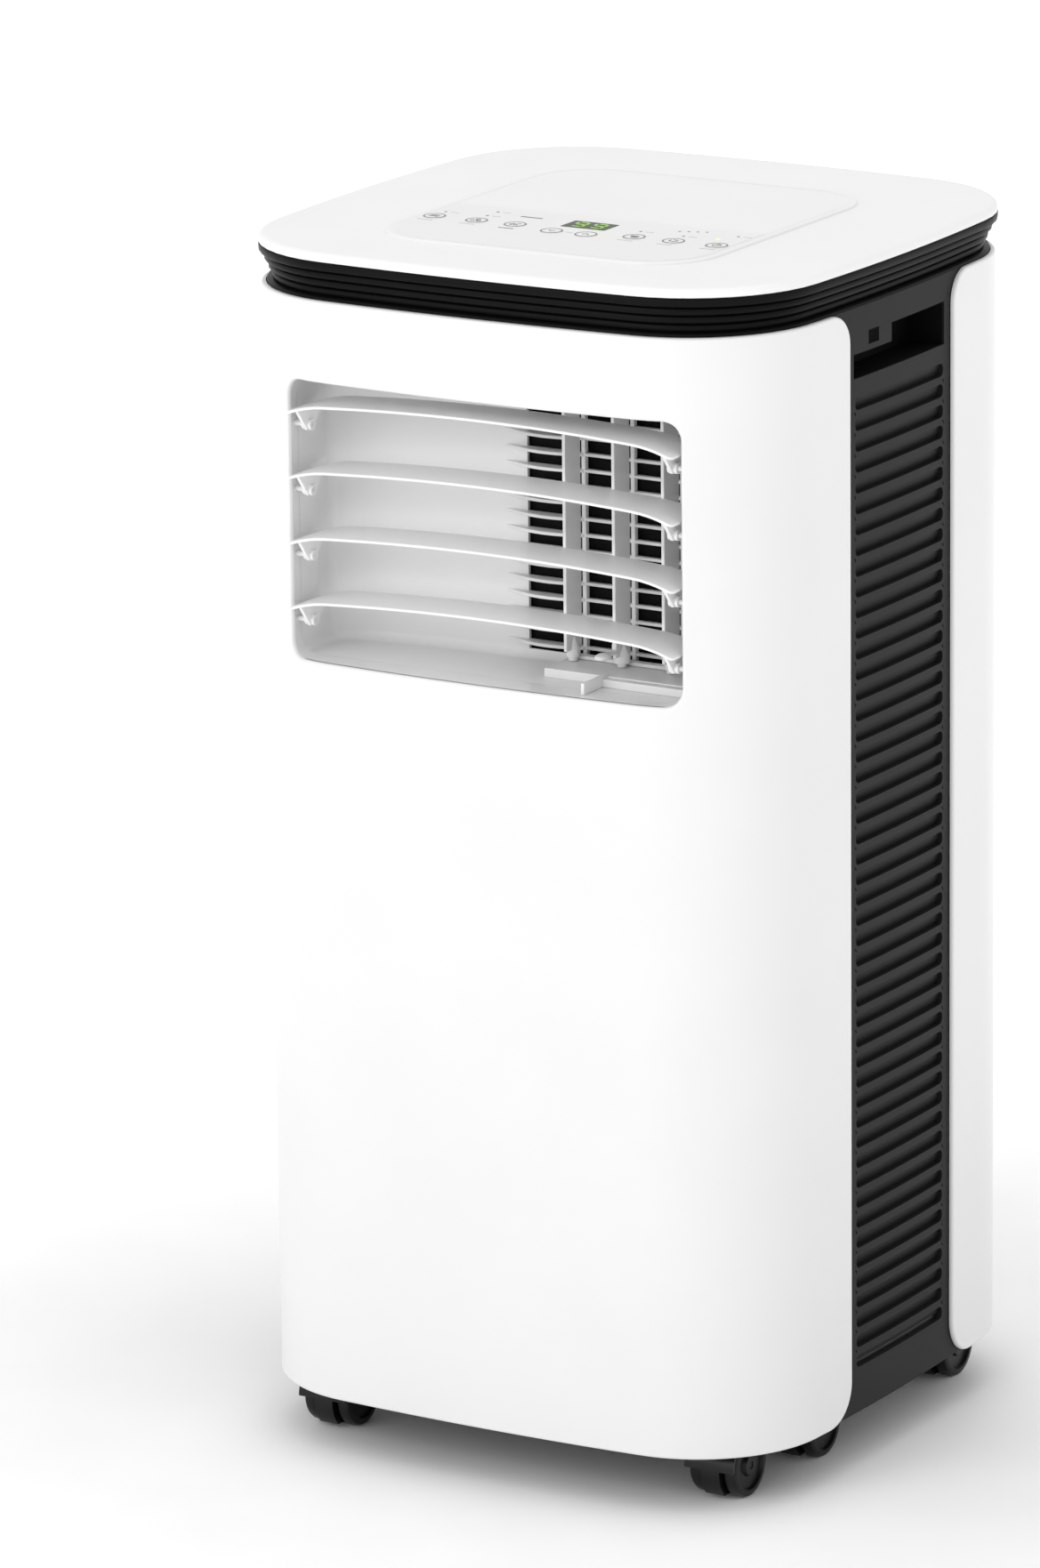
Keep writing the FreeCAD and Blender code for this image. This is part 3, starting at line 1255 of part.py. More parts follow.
def build_drain_plug():
    """Rubber plug in the tray's drain spout."""
    face = "(body_depth / 2 - 5)"
    shank = rod("y", (f"{face} - 10", f"{face} + 1"), ("0", "drain_level"), "drain_bore - pin_gap")
    head = rod("y", (f"{face} + seam_gap", f"{face} + 5"), ("0", "drain_level"), "drain_bore + 2.5")
    node("drain_plug", fuse(shank, head))


def build_cord_gland():
    """Inlet bush for the mains lead."""
    neck = rod("y", ("body_depth / 2 - 12", "body_depth / 2 - 0.5"), ("gland_place", "gland_level"),
               "gland_radius")
    collar = rod("y", ("body_depth / 2 - 12", "body_depth / 2 - 7"), ("gland_place", "gland_level"),
                 "gland_radius + 3")
    bore = rod("y", ("body_depth / 2 - 20", "body_depth / 2"), ("gland_place", "gland_level"), "gland_bore")
    node("cord_gland", cut(fuse(neck, collar), bore))


# ---------------------------------------------------------------- assembly

build_base_tray()
for caster, (caster_x, caster_y, caster_way) in CASTERS.items():
    build_caster(caster, caster_x, caster_y, caster_way)
build_front_cover()
build_rear_cover()
build_cover_screws()
build_side_panel("side_panel_left", -1)
build_side_panel("side_panel_right", 1)
build_trim_collar()
build_top_lid()
build_control_panel()
build_keys()
build_display_and_board()
build_slats()
build_slat_link()
build_outlet_duct()
build_vanes()
build_outlet_grille()
build_upper_blower()
build_lower_blower()
build_coils()
build_divider_deck()
build_compressor()
build_pipes()
build_exhaust_port()
build_intake()
build_drain_plug()
build_cord_gland()
doc.recompute()

for item in doc.Objects:
    if {"Invalid", "Error"} & set(item.State):
        raise RuntimeError(f"{item.Label} could not be built: {item.State}")
for name, item in nodes.items():
    if item.Shape.isNull() or not item.Shape.isValid():
        raise RuntimeError(f"{name} has no valid shape")

os.makedirs("parts", exist_ok=True)
for name, item in nodes.items():
    item.Shape.exportStep(f"parts/{name}.step")
print(f"{len(nodes)} sub-parts")
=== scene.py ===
"""Looks of the portable air conditioner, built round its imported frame, in metres."""
import json
import logging
import math
from dataclasses import dataclass, field
from enum import Enum
from typing import Callable, Iterable, Sequence

import bmesh
import bpy
from mathutils import Matrix, Quaternion, Vector
from mathutils.geometry import interpolate_bezier


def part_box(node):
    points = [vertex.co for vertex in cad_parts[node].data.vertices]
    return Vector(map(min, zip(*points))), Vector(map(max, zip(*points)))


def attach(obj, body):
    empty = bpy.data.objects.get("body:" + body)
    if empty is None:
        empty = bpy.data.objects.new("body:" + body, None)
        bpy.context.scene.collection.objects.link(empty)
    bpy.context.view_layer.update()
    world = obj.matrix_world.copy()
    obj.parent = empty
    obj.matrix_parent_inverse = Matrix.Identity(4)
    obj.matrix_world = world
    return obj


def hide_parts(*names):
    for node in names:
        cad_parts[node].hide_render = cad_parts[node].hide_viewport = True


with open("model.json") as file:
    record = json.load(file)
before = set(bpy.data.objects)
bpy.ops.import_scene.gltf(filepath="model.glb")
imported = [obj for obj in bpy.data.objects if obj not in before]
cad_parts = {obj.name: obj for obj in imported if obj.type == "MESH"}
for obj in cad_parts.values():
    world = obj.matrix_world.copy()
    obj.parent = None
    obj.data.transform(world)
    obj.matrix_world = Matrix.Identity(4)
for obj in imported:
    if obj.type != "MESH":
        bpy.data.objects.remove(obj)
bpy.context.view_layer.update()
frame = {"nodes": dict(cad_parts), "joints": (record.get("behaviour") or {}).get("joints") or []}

LOG = logging.getLogger("air_conditioner")
MM = 0.001
Span = tuple[float, float]
Colour = tuple[float, float, float]


# ---------------------------------------------------------------- finishes

def add_node(tree: bpy.types.NodeTree, kind: str, **values: object) -> bpy.types.Node:
    """Add a node to a material.

    Args:
        tree: Nodes of the material.
        kind: Kind of node, without the prefix that all share.
        values: Values of its sockets, with an underscore for each space.

    Returns:
        The node.
    """
    node = tree.nodes.new(f"ShaderNode{kind}")
    set_sockets(node, **values)
    return node


def set_sockets(node: bpy.types.Node, **values: object) -> None:
    """Set sockets of a node by name, with an underscore for each space."""
    for name, value in values.items():
        node.inputs[name.replace("_", " ")].default_value = value


def opaque(colour: Colour, factor: float = 1.0, lift: float = 0.0) -> tuple[float, ...]:
    """Colour with each part multiplied and lifted, up to one, and full alpha."""
    return (*[min(1.0, part * factor + lift) for part in colour], 1.0)


class Grain(Enum):
    """How a moulded surface is textured, as the scale and the strength of its pits."""

    POLISHED = (60.0, 0.01)
    SATIN = (900.0, 0.03)
    SPARK = (2200.0, 0.12)


@dataclass(frozen=True)
class Finish:
    """Look of a surface.

    Attributes:
        name: Name of the finish.
        colour: Linear base colour.
        rough: Roughness of the surface.
    """

    name: str
    colour: Colour
    rough: float = 0.4

    def material(self) -> bpy.types.Material:
        """Build the node material, or return it if it is there already.

        Returns:
            The material.
        """
        title = f"{self.name}_finish"
        made = bpy.data.materials.get(title)
        if made is None:
            made = bpy.data.materials.new(title)
            made.use_nodes = True
            self.paint(made.node_tree, made.node_tree.nodes["Principled BSDF"])
        return made

    def paint(self, tree: bpy.types.NodeTree, shader: bpy.types.Node) -> None:
        """Set the shader's plain base colour and roughness.

        Args:
            tree: Nodes of the material.
            shader: Its shader.
        """
        set_sockets(shader, Base_Color=opaque(self.colour), Roughness=self.rough)

    def vary(self, tree: bpy.types.NodeTree, noise: bpy.types.Node, ends: Sequence[tuple[float, ...]],
             rough: Span) -> None:
        """Let a noise vary the base colour and the roughness.

        Args:
            tree: Nodes of the material.
            noise: Noise that mixes both.
            ends: Colours at the low and the high end of the noise.
            rough: Roughness at both ends.
        """
        shader, links = tree.nodes["Principled BSDF"], tree.links
        tint = add_node(tree, "Mix")
        tint.data_type = "RGBA"
        set_sockets(tint, A=ends[0], B=ends[1])
        gloss = add_node(tree, "MapRange", To_Min=rough[0], To_Max=rough[1])
        links.new(noise.outputs["Fac"], tint.inputs["Factor"])
        links.new(noise.outputs["Fac"], gloss.inputs["Value"])
        links.new(tint.outputs["Result"], shader.inputs["Base Color"])
        links.new(gloss.outputs["Result"], shader.inputs["Roughness"])


@dataclass(frozen=True)
class Plastic(Finish):
    """Moulded plastic with a fine surface texture and slight unevenness.

    Attributes:
        grain: How the surface is textured.
        coat: Weight of a glossy top layer.
        shine: Strength of the surface reflection.
    """

    grain: Grain = Grain.SATIN
    coat: float = 0.0
    shine: float = 0.5

    def paint(self, tree: bpy.types.NodeTree, shader: bpy.types.Node) -> None:
        """Cloud the colour and pit the surface.

        Args:
            tree: Nodes of the material.
            shader: Its shader.
        """
        links = tree.links
        set_sockets(shader, Coat_Weight=self.coat, Coat_Roughness=0.08, Specular_IOR_Level=self.shine)
        place = add_node(tree, "TexCoord")
        cloud = add_node(tree, "TexNoise", Scale=14.0, Detail=3.0)
        links.new(place.outputs["Object"], cloud.inputs["Vector"])
        self.vary(tree, cloud, (opaque(self.colour), opaque(self.colour, 1.06, 0.002)),
                  (self.rough * 0.9, min(1.0, self.rough * 1.12)))
        scale, strength = self.grain.value
        pits = add_node(tree, "TexNoise", Scale=scale, Detail=4.0)
        links.new(place.outputs["Object"], pits.inputs["Vector"])
        bump = add_node(tree, "Bump", Strength=strength, Distance=0.0004)
        links.new(pits.outputs["Fac"], bump.inputs["Height"])
        links.new(bump.outputs["Normal"], shader.inputs["Normal"])


@dataclass(frozen=True)
class Metal(Finish):
    """Bare metal with fine streaks along one direction.

    Attributes:
        streaks: Scale of the streaks along X, Y and Z.
    """

    streaks: tuple[float, float, float] = (40.0, 40.0, 900.0)

    def paint(self, tree: bpy.types.NodeTree, shader: bpy.types.Node) -> None:
        """Streak the colour and the roughness.

        Args:
            tree: Nodes of the material.
            shader: Its shader.
        """
        links = tree.links
        set_sockets(shader, Metallic=1.0)
        place = add_node(tree, "TexCoord")
        stretch = add_node(tree, "Mapping", Scale=self.streaks)
        links.new(place.outputs["Object"], stretch.inputs["Vector"])
        grain = add_node(tree, "TexNoise", Scale=1.0, Detail=5.0)
        links.new(stretch.outputs["Vector"], grain.inputs["Vector"])
        self.vary(tree, grain, (opaque(self.colour, 0.82), opaque(self.colour, 1.1)),
                  (self.rough * 0.75, self.rough * 1.3))


@dataclass(frozen=True)
class Glow(Finish):
    """Lit display segment or indicator lamp.

    Attributes:
        power: Strength of the light.
    """

    power: float = 0.3

    def paint(self, tree: bpy.types.NodeTree, shader: bpy.types.Node) -> None:
        """Add the surface's own light."""
        super().paint(tree, shader)
        set_sockets(shader, Emission_Color=opaque(self.colour), Emission_Strength=self.power)


WHITE_SHELL = Plastic("white_shell", (0.75, 0.75, 0.75), 0.3, Grain.POLISHED, 0.15)
WHITE_LID = Plastic("white_lid", (0.82, 0.82, 0.82), 0.32, Grain.POLISHED, 0.1)
PANEL_WHITE = Plastic("panel_white", (0.8, 0.8, 0.8), 0.3, Grain.POLISHED, 0.1)
KEY_FILM = Plastic("key_film", (0.77, 0.77, 0.765), 0.34, Grain.SATIN)
CHARCOAL = Plastic("charcoal", (0.014, 0.014, 0.0143), 0.5, Grain.SPARK, 0.0, 0.12)
COLLAR_BLACK = Plastic("collar_black", (0.004, 0.004, 0.0042), 0.36, Grain.SATIN, 0.0, 0.06)
DUCT_GREY = Plastic("duct_grey", (0.78, 0.78, 0.78), 0.42, Grain.SATIN)
SLAT_GREY = Plastic("slat_grey", (0.8, 0.8, 0.8), 0.35, Grain.SATIN)
# Black of the parts inside the cabinet, also used as painted shade on the sheet behind the outlet grille.
INNER_BLACK_AND_SHADE = Plastic("inner_black_and_shade", (0.003, 0.003, 0.003), 0.6, Grain.SPARK, 0.0, 0.1)
CASTER_BLACK = Plastic("caster_black", (0.004, 0.004, 0.004), 0.26, Grain.SATIN, 0.0, 0.3)
TYRE_BLACK = Plastic("tyre_black", (0.006, 0.006, 0.006), 0.34, Grain.SATIN, 0.0, 0.25)
INK_GREY = Plastic("ink_grey", (0.12, 0.12, 0.12), 0.4, Grain.POLISHED)
INK_PALE = Plastic("ink_pale", (0.5, 0.5, 0.5), 0.4, Grain.POLISHED)
BOARD_GREEN = Plastic("board_green", (0.02, 0.12, 0.05), 0.4, Grain.SATIN)
DISPLAY_DARK = Plastic("display_dark", (0.05, 0.066, 0.04), 0.3, Grain.POLISHED, 0.0, 0.08)
METAL_GREY = Metal("metal_grey", (0.45, 0.45, 0.46), 0.32)
FIN_SILVER = Metal("fin_silver", (0.7, 0.71, 0.73), 0.3, (900.0, 30.0, 30.0))
COPPER = Metal("copper", (0.75, 0.36, 0.2), 0.28, (60.0, 60.0, 200.0))
DIGIT_GREEN = Glow("digit_green", (0.22, 0.48, 0.03), 0.3, 0.3)
LAMP_YELLOW = Glow("lamp_yellow", (0.75, 0.8, 0.12), 0.3, 0.5)


# ---------------------------------------------------------------- outline

@dataclass(frozen=True)
class Outline:
    """Square cabinet outline with four bowed sides and four round corners.

    Attributes:
        half: Distance from the centre to the middle of a side.
        bow: Radius of each bowed side.
        corner: Radius of each corner.
        coarse: Distance between slices on a side.
        fine: Distance between slices on a corner.
        side_steps: Number of a closed loop's points on each side.
        corner_steps: Number of a closed loop's points round each corner.
    """

    half: float = 165.0 * MM
    bow: float = 1430.0 * MM
    corner: float = 74.0 * MM
    coarse: float = 9.0 * MM
    fine: float = 3.2 * MM
    side_steps: int = 8
    corner_steps: int = 10

    @property
    def corner_place(self) -> float:
        """Distance of each corner's centre from the cabinet's two middle planes."""
        rise = self.bow - self.half
        reach = self.bow - self.corner
        return (-rise + math.sqrt(2.0 * reach ** 2 - rise ** 2)) / 2.0

    @property
    def join_angle(self) -> float:
        """Angle at which a bowed side turns into a corner."""
        return math.atan2(self.corner_place, self.bow - self.half + self.corner_place)

    @property
    def quarter(self) -> float:
        """Length of the outline from the middle of one side to the next."""
        turn = math.pi / 2.0 - 2.0 * self.join_angle
        return 2.0 * self.bow * self.join_angle + self.corner * turn

    def at(self, distance: float) -> tuple[Vector, Vector]:
        """Find a point of the outline.

        Args:
            distance: Length along the outline from the middle of the front, towards the right.

        Returns:
            The point and the outward direction there.
        """
        side = round(distance / self.quarter)
        along = distance - side * self.quarter
        limit = self.bow * self.join_angle
        if abs(along) <= limit:
            angle = along / self.bow
            centre = Vector((0.0, self.bow - self.half, 0.0))
            radius = self.bow
        else:
            angle = math.copysign(self.join_angle + (abs(along) - limit) / self.corner, along)
            centre = Vector((math.copysign(self.corner_place, along), -self.corner_place, 0.0))
            radius = self.corner
        outward = Vector((math.sin(angle), -math.cos(angle), 0.0))
        turn = Matrix.Rotation(side * math.pi / 2.0, 3, "Z")
        return turn @ (centre + outward * radius), turn @ outward

    def stations(self, start: float, end: float) -> list[float]:
        """List the lengths at which a wrapped sheet is sliced.

        Args:
            start: First length.
            end: Last length.

        Returns:
            Lengths between the two, close together on the corners.
        """
        found: list[float] = []
        limit = self.bow * self.join_angle
        spot = start
        while spot < end:
            along = spot - round(spot / self.quarter) * self.quarter
            spot += self.coarse if abs(along) < limit - 4.0 * MM else self.fine
            if spot < end:
                found.append(spot)
        return found

    def wrap(self, mesh: bmesh.types.BMesh, start: float) -> None:
        """Bend a flat mesh round the outline.

        Args:
            mesh: Mesh with length along X, depth along Y and height along Z.
            start: Length along the outline at which the mesh's X is zero.
        """
        for vert in mesh.verts:
            point, outward = self.at(start + vert.co.x)
            vert.co = point - outward * vert.co.y + Vector((0.0, 0.0, vert.co.z))

    def loop(self, mesh: bmesh.types.BMesh, inset: float, level: float) -> list[bmesh.types.BMEdge]:
        """Draw the outline as a closed loop.

        Args:
            mesh: Mesh to draw in.
            inset: Distance inside the outline.
            level: Height of the loop.

        Returns:
            The loop's edges.
        """
        spots = self.ring_lengths()
        made = bmesh.ops.create_circle(mesh, cap_ends=False, radius=1.0, segments=len(spots))["verts"]
        for vert, spot in zip(made, spots):
            point, outward = self.at(spot)
            vert.co = point - outward * inset + Vector((0.0, 0.0, level))
        return list({edge for vert in made for edge in vert.link_edges})

    def ring_lengths(self) -> list[float]:
        """Lengths at which a closed loop has its points.

        Returns:
            The lengths along the outline.
        """
        limit = self.bow * self.join_angle
        bend = self.quarter - 2.0 * limit
        found: list[float] = []
        for side in range(4):
            base = side * self.quarter
            found += [base - limit + 2.0 * limit * step / self.side_steps
                      for step in range(self.side_steps)]
            found += [base + limit + bend * step / self.corner_steps for step in range(self.corner_steps)]
        return found


OUTLINE = Outline()


# ---------------------------------------------------------------- mesh tools

def add_object(name: str, data: bpy.types.ID) -> bpy.types.Object:
    """Make an object and put it in the scene.

    Args:
        name: Name of the object.
        data: Its mesh, light or camera.

    Returns:
        The object.
    """
    made = bpy.data.objects.new(name, data)
    bpy.context.scene.collection.objects.link(made)
    return made


def store(mesh: bmesh.types.BMesh, name: str) -> bpy.types.Mesh:
    """Keep a finished shape as mesh data and free the working one.

    Args:
        mesh: Working shape.
        name: Name of the mesh data.

    Returns:
        The mesh data.
    """
    data = bpy.data.meshes.new(name)
    mesh.to_mesh(data)
    mesh.free()
    return data


def weigh_shading(piece: bpy.types.Object) -> None:
    """Let large faces set the shading of the bevels beside them."""
    piece.modifiers.new("shading", "WEIGHTED_NORMAL").keep_sharp = True


def give_wall(piece: bpy.types.Object, thickness: float, offset: float = -1.0) -> None:
    """Give a sheet its thickness.

    Args:
        piece: Sheet without thickness.
        thickness: Thickness of the wall.
        offset: -1 if the wall grows behind the sheet, 1 if it grows in front.
    """
    wall = piece.modifiers.new("wall", "SOLIDIFY")
    wall.thickness = thickness
    wall.offset = offset


def middle_of(node: str) -> Vector:
    """Middle of a CAD part's box."""
    low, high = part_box(node)
    return (low + high) / 2.0


def hinge(joint: str) -> Vector:
    """Place of a joint of the object."""
    found = next(entry for entry in frame["joints"] if entry["name"] == joint)
    return Vector(found["pos_m"])


def up(height: float) -> Vector:
    """Step straight up."""
    return Vector((0.0, 0.0, height))


def finish_piece(
    mesh: bmesh.types.BMesh,
    name: str,
    body: str,
    finish: Finish,
    smooth: float = 32.0,
    weighted: bool = True,
) -> bpy.types.Object:
    """Turn a mesh into a piece of the object.

    Args:
        mesh: Finished shape, in place.
        name: Name of the piece.
        body: Moving body that it rides on.
        finish: Look of the surface.
        smooth: Largest angle in degrees that is shaded as one surface.
        weighted: Whether large faces set the shading of the bevels beside them.

    Returns:
        The piece.
    """
    mesh.normal_update()
    limit = math.radians(smooth)
    for face in mesh.faces:
        face.smooth = True
    for edge in mesh.edges:
        edge.smooth = edge.calc_face_angle(math.pi) < limit
    piece = add_object(name, store(mesh, name))
    piece.data.materials.append(finish.material())
    if weighted:
        weigh_shading(piece)
    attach(piece, body)
    return piece


def slice_at(mesh: bmesh.types.BMesh, axis: int, spots: Iterable[float]) -> None:
    """Cut a mesh with planes square to an axis.

    Args:
        mesh: Mesh to cut.
        axis: 0, 1 or 2 for X, Y or Z.
        spots: Places of the planes along the axis.
    """
    normal = Vector((0.0, 0.0, 0.0))
    normal[axis] = 1.0
    for spot in spots:
        geometry = [*mesh.verts, *mesh.edges, *mesh.faces]
        bmesh.ops.bisect_plane(mesh, geom=geometry, dist=1e-6, plane_co=normal * spot, plane_no=normal)


def bevel(mesh: bmesh.types.BMesh, edges: Sequence[bmesh.types.BMEdge], width: float, segments: int,
          clamp: bool = False) -> None:
    """Bevel some edges with a round profile.

    Args:
        mesh: Mesh to bevel.
        edges: Edges to bevel, if there are any.
        width: Width of each bevel.
        segments: Number of facets.
        clamp: Whether bevels stop where they meet.
    """
    if edges:
        bmesh.ops.bevel(mesh, geom=edges, offset=width, offset_type="OFFSET", segments=segments,
                        profile=0.5, affect="EDGES", material=-1, clamp_overlap=clamp)


def round_depth_edges(mesh: bmesh.types.BMesh, spots: Sequence[tuple[float, float]], radius: float,
                      segments: int = 8) -> None:
    """Round the edges that run through a plate at some of its corners.

    Args:
        mesh: Plate with its thickness along Y.
        spots: Pairs of X and Z at which an edge is rounded.
        radius: Radius of the rounding.
        segments: Number of facets.
    """
    chosen = []
    for edge in mesh.edges:
        first, second = (vert.co for vert in edge.verts)
        if abs(first.x - second.x) > 1e-6 or abs(first.z - second.z) > 1e-6:
            continue
        if any(abs(first.x - x) < 1e-5 and abs(first.z - z) < 1e-5 for x, z in spots):
            chosen.append(edge)
    bevel(mesh, chosen, radius, segments)


def soften(mesh: bmesh.types.BMesh, width: float, segments: int = 2, angle: float = 40.0,
           keep: Callable[[bmesh.types.BMEdge], bool] | None = None) -> None:
    """Bevel the sharp edges of a mesh.

    Args:
        mesh: Mesh to bevel.
        width: Width of each bevel.
        segments: Number of facets.
        angle: Smallest angle in degrees that counts as sharp.
        keep: Test that an edge has to pass, if there is one.
    """
    mesh.normal_update()
    limit = math.radians(angle)
    sharp = [edge for edge in mesh.edges
             if len(edge.link_faces) == 2 and edge.calc_face_angle(0.0) > limit
             and (keep is None or keep(edge))]
    bevel(mesh, sharp, width, segments, clamp=True)


def flat_sheet(x: Span, z: Span) -> bmesh.types.BMesh:
    """Make one upright rectangle that faces the front.

    Args:
        x: Left and right ends.
        z: Lower and upper ends.

    Returns:
        The mesh.
    """
    mesh = bmesh.new()
    bmesh.ops.create_grid(mesh, x_segments=1, y_segments=1, size=0.5)
    bmesh.ops.rotate(mesh, verts=mesh.verts, cent=(0, 0, 0), matrix=Matrix.Rotation(math.pi / 2, 3, "X"))
    bmesh.ops.scale(mesh, verts=mesh.verts, vec=(x[1] - x[0], 1.0, z[1] - z[0]))
    bmesh.ops.translate(mesh, verts=mesh.verts, vec=((x[0] + x[1]) / 2, 0.0, (z[0] + z[1]) / 2))
    return mesh


def inside(face: bmesh.types.BMFace, x: Span, z: Span) -> bool:
    """Tell whether a face's middle lies in a rectangle."""
    middle = face.calc_center_median()
    return x[0] < middle.x < x[1] and z[0] < middle.z < z[1]


def punch(mesh: bmesh.types.BMesh, holes: Sequence[tuple[Span, Span]]) -> None:
    """Take rectangles out of a flat sheet.

    Args:
        mesh: Sheet that faces the front.
        holes: Span along X and span along Z of each rectangle.
    """
    for hole in holes:
        for axis, span in zip((0, 2), hole):
            slice_at(mesh, axis, span)
    gone = [face for face in mesh.faces if any(inside(face, *hole) for hole in holes)]
    bmesh.ops.delete(mesh, geom=gone, context="FACES")


def thicken(mesh: bmesh.types.BMesh, depth: float) -> None:
    """Extrude a flat sheet backwards into a closed plate.

    Args:
        mesh: Sheet that faces the front.
        depth: Thickness of the plate.
    """
    made = bmesh.ops.extrude_face_region(mesh, geom=list(mesh.faces))["geom"]
    moved = [item for item in made if isinstance(item, bmesh.types.BMVert)]
    bmesh.ops.translate(mesh, verts=moved, vec=(0.0, depth, 0.0))
    bmesh.ops.recalc_face_normals(mesh, faces=mesh.faces)


def faces_front(face: bmesh.types.BMFace) -> bool:
    """Tell whether a face of a flat plate looks to the front."""
    return face.normal.y < -0.9


def front_rim(edge: bmesh.types.BMEdge) -> bool:
    """Tell whether an edge bounds a flat plate's front face."""
    return any(faces_front(face) for face in edge.link_faces)


def box_mesh(mesh: bmesh.types.BMesh, low: Sequence[float],
             high: Sequence[float]) -> list[bmesh.types.BMVert]:
    """Add a block between two corners.

    Args:
        mesh: Mesh to add to.
        low: Lowest corner.
        high: Highest corner.

    Returns:
        The block's corners.
    """
    middle = [(a + b) / 2.0 for a, b in zip(low, high)]
    size = [b - a for a, b in zip(low, high)]
    place = Matrix.Translation(middle) @ Matrix.Diagonal((*size, 1.0))
    return bmesh.ops.create_cube(mesh, size=1.0, matrix=place)["verts"]


def rod_mesh(mesh: bmesh.types.BMesh, start: Vector, end: Vector, radius: float, segments: int = 24,
             end_radius: float | None = None) -> list[bmesh.types.BMVert]:
    """Add a round rod or cone between two points.

    Args:
        mesh: Mesh to add to.
        start: First end.
        end: Other end.
        radius: Radius at the first end.
        segments: Number of sides.
        end_radius: Radius at the other end, the same if left out.

    Returns:
        The rod's corners.
    """
    way = end - start
    turn = way.to_track_quat("Z", "Y").to_matrix().to_4x4()
    place = Matrix.Translation((start + end) / 2.0) @ turn
    return bmesh.ops.create_cone(mesh, cap_ends=True, segments=segments, radius1=radius,
                                 radius2=radius if end_radius is None else end_radius,
                                 depth=way.length, matrix=place)["verts"]


def flat_ring(mesh: bmesh.types.BMesh, centre: Vector, outer: float, inner: float,
              segments: int = 40) -> None:
    """Add a flat ring that faces up.

    Args:
        mesh: Mesh to add to.
        centre: Middle of the ring.
        outer: Outer radius.
        inner: Inner radius.
        segments: Number of sides.
    """
    rims = []
    for radius in (outer, inner):
        made = bmesh.ops.create_circle(mesh, cap_ends=False, radius=radius, segments=segments,
                                       matrix=Matrix.Translation(centre))["verts"]
        rims += {edge for vert in made for edge in vert.link_edges}
    bmesh.ops.bridge_loops(mesh, edges=rims)


def flat_disc(mesh: bmesh.types.BMesh, centre: Vector, radius: float, segments: int = 16) -> None:
    """Add a flat disc that faces up."""
    bmesh.ops.create_circle(mesh, cap_ends=True, radius=radius, segments=segments,
                            matrix=Matrix.Translation(centre))


def flat_bar(mesh: bmesh.types.BMesh, start: Vector, end: Vector, width: float) -> None:
    """Add a flat straight stroke between two points.

    Args:
        mesh: Mesh to add to.
        start: First end.
        end: Other end.
        width: Width of the stroke.
    """
    way = end - start
    turn = Matrix.Rotation(math.atan2(way.y, way.x), 4, "Z")
    size = Matrix.Diagonal((way.length, width, 1.0, 1.0))
    place = Matrix.Translation((start + end) / 2.0) @ turn @ size
    bmesh.ops.create_grid(mesh, x_segments=1, y_segments=1, size=0.5, matrix=place)


def finish_marks(mesh: bmesh.types.BMesh, name: str, body: str,
                 finish: Finish) -> bpy.types.Object:
    """Turn flat printed marks into a thin raised piece.

    Args:
        mesh: Flat marks.
        name: Name of the piece.
        body: Body that it rides on.
        finish: Look of the ink.

    Returns:
        The piece.
    """
    mesh.normal_update()
    bmesh.ops.reverse_faces(mesh, faces=[face for face in mesh.faces if face.normal.z < 0.0])
    piece = finish_piece(mesh, name, body, finish, 20.0, False)
    give_wall(piece, 0.08 * MM, 1.0)
    return piece


def cut_away(piece: bpy.types.Object, mesh: bmesh.types.BMesh) -> None:
    """Cut a shape out of a piece and keep the result as its mesh.

    Args:
        piece: Piece to cut.
        mesh: Shape to take away.
    """
    cutter = add_object("cutter", store(mesh, "cutter"))
    piece.modifiers.clear()
    hole = piece.modifiers.new("holes", "BOOLEAN")
    hole.object = cutter
    hole.solver = "EXACT"
    bpy.context.view_layer.update()
    depsgraph = bpy.context.evaluated_depsgraph_get()
    cut = bpy.data.meshes.new_from_object(piece.evaluated_get(depsgraph), depsgraph=depsgraph)
    piece.modifiers.clear()
    piece.data = cut
    weigh_shading(piece)
    bpy.data.objects.remove(cutter)


def sweep_outline(profile: Sequence[tuple[float, float]], closed: bool) -> bmesh.types.BMesh:
    """Sweep a profile round the cabinet outline.

    Args:
        profile: Pairs of inset and height, in order.
        closed: Whether the last pair joins the first.

    Returns:
        The swept mesh.
    """
    mesh = bmesh.new()
    loops = [OUTLINE.loop(mesh, inset, level) for inset, level in profile]
    for before, after in zip(loops, loops[1:]):
        bmesh.ops.bridge_loops(mesh, edges=before + after)
    if closed:
        bmesh.ops.bridge_loops(mesh, edges=loops[-1] + loops[0])
    bmesh.ops.recalc_face_normals(mesh, faces=mesh.faces)
    return mesh


# ---------------------------------------------------------------- covers

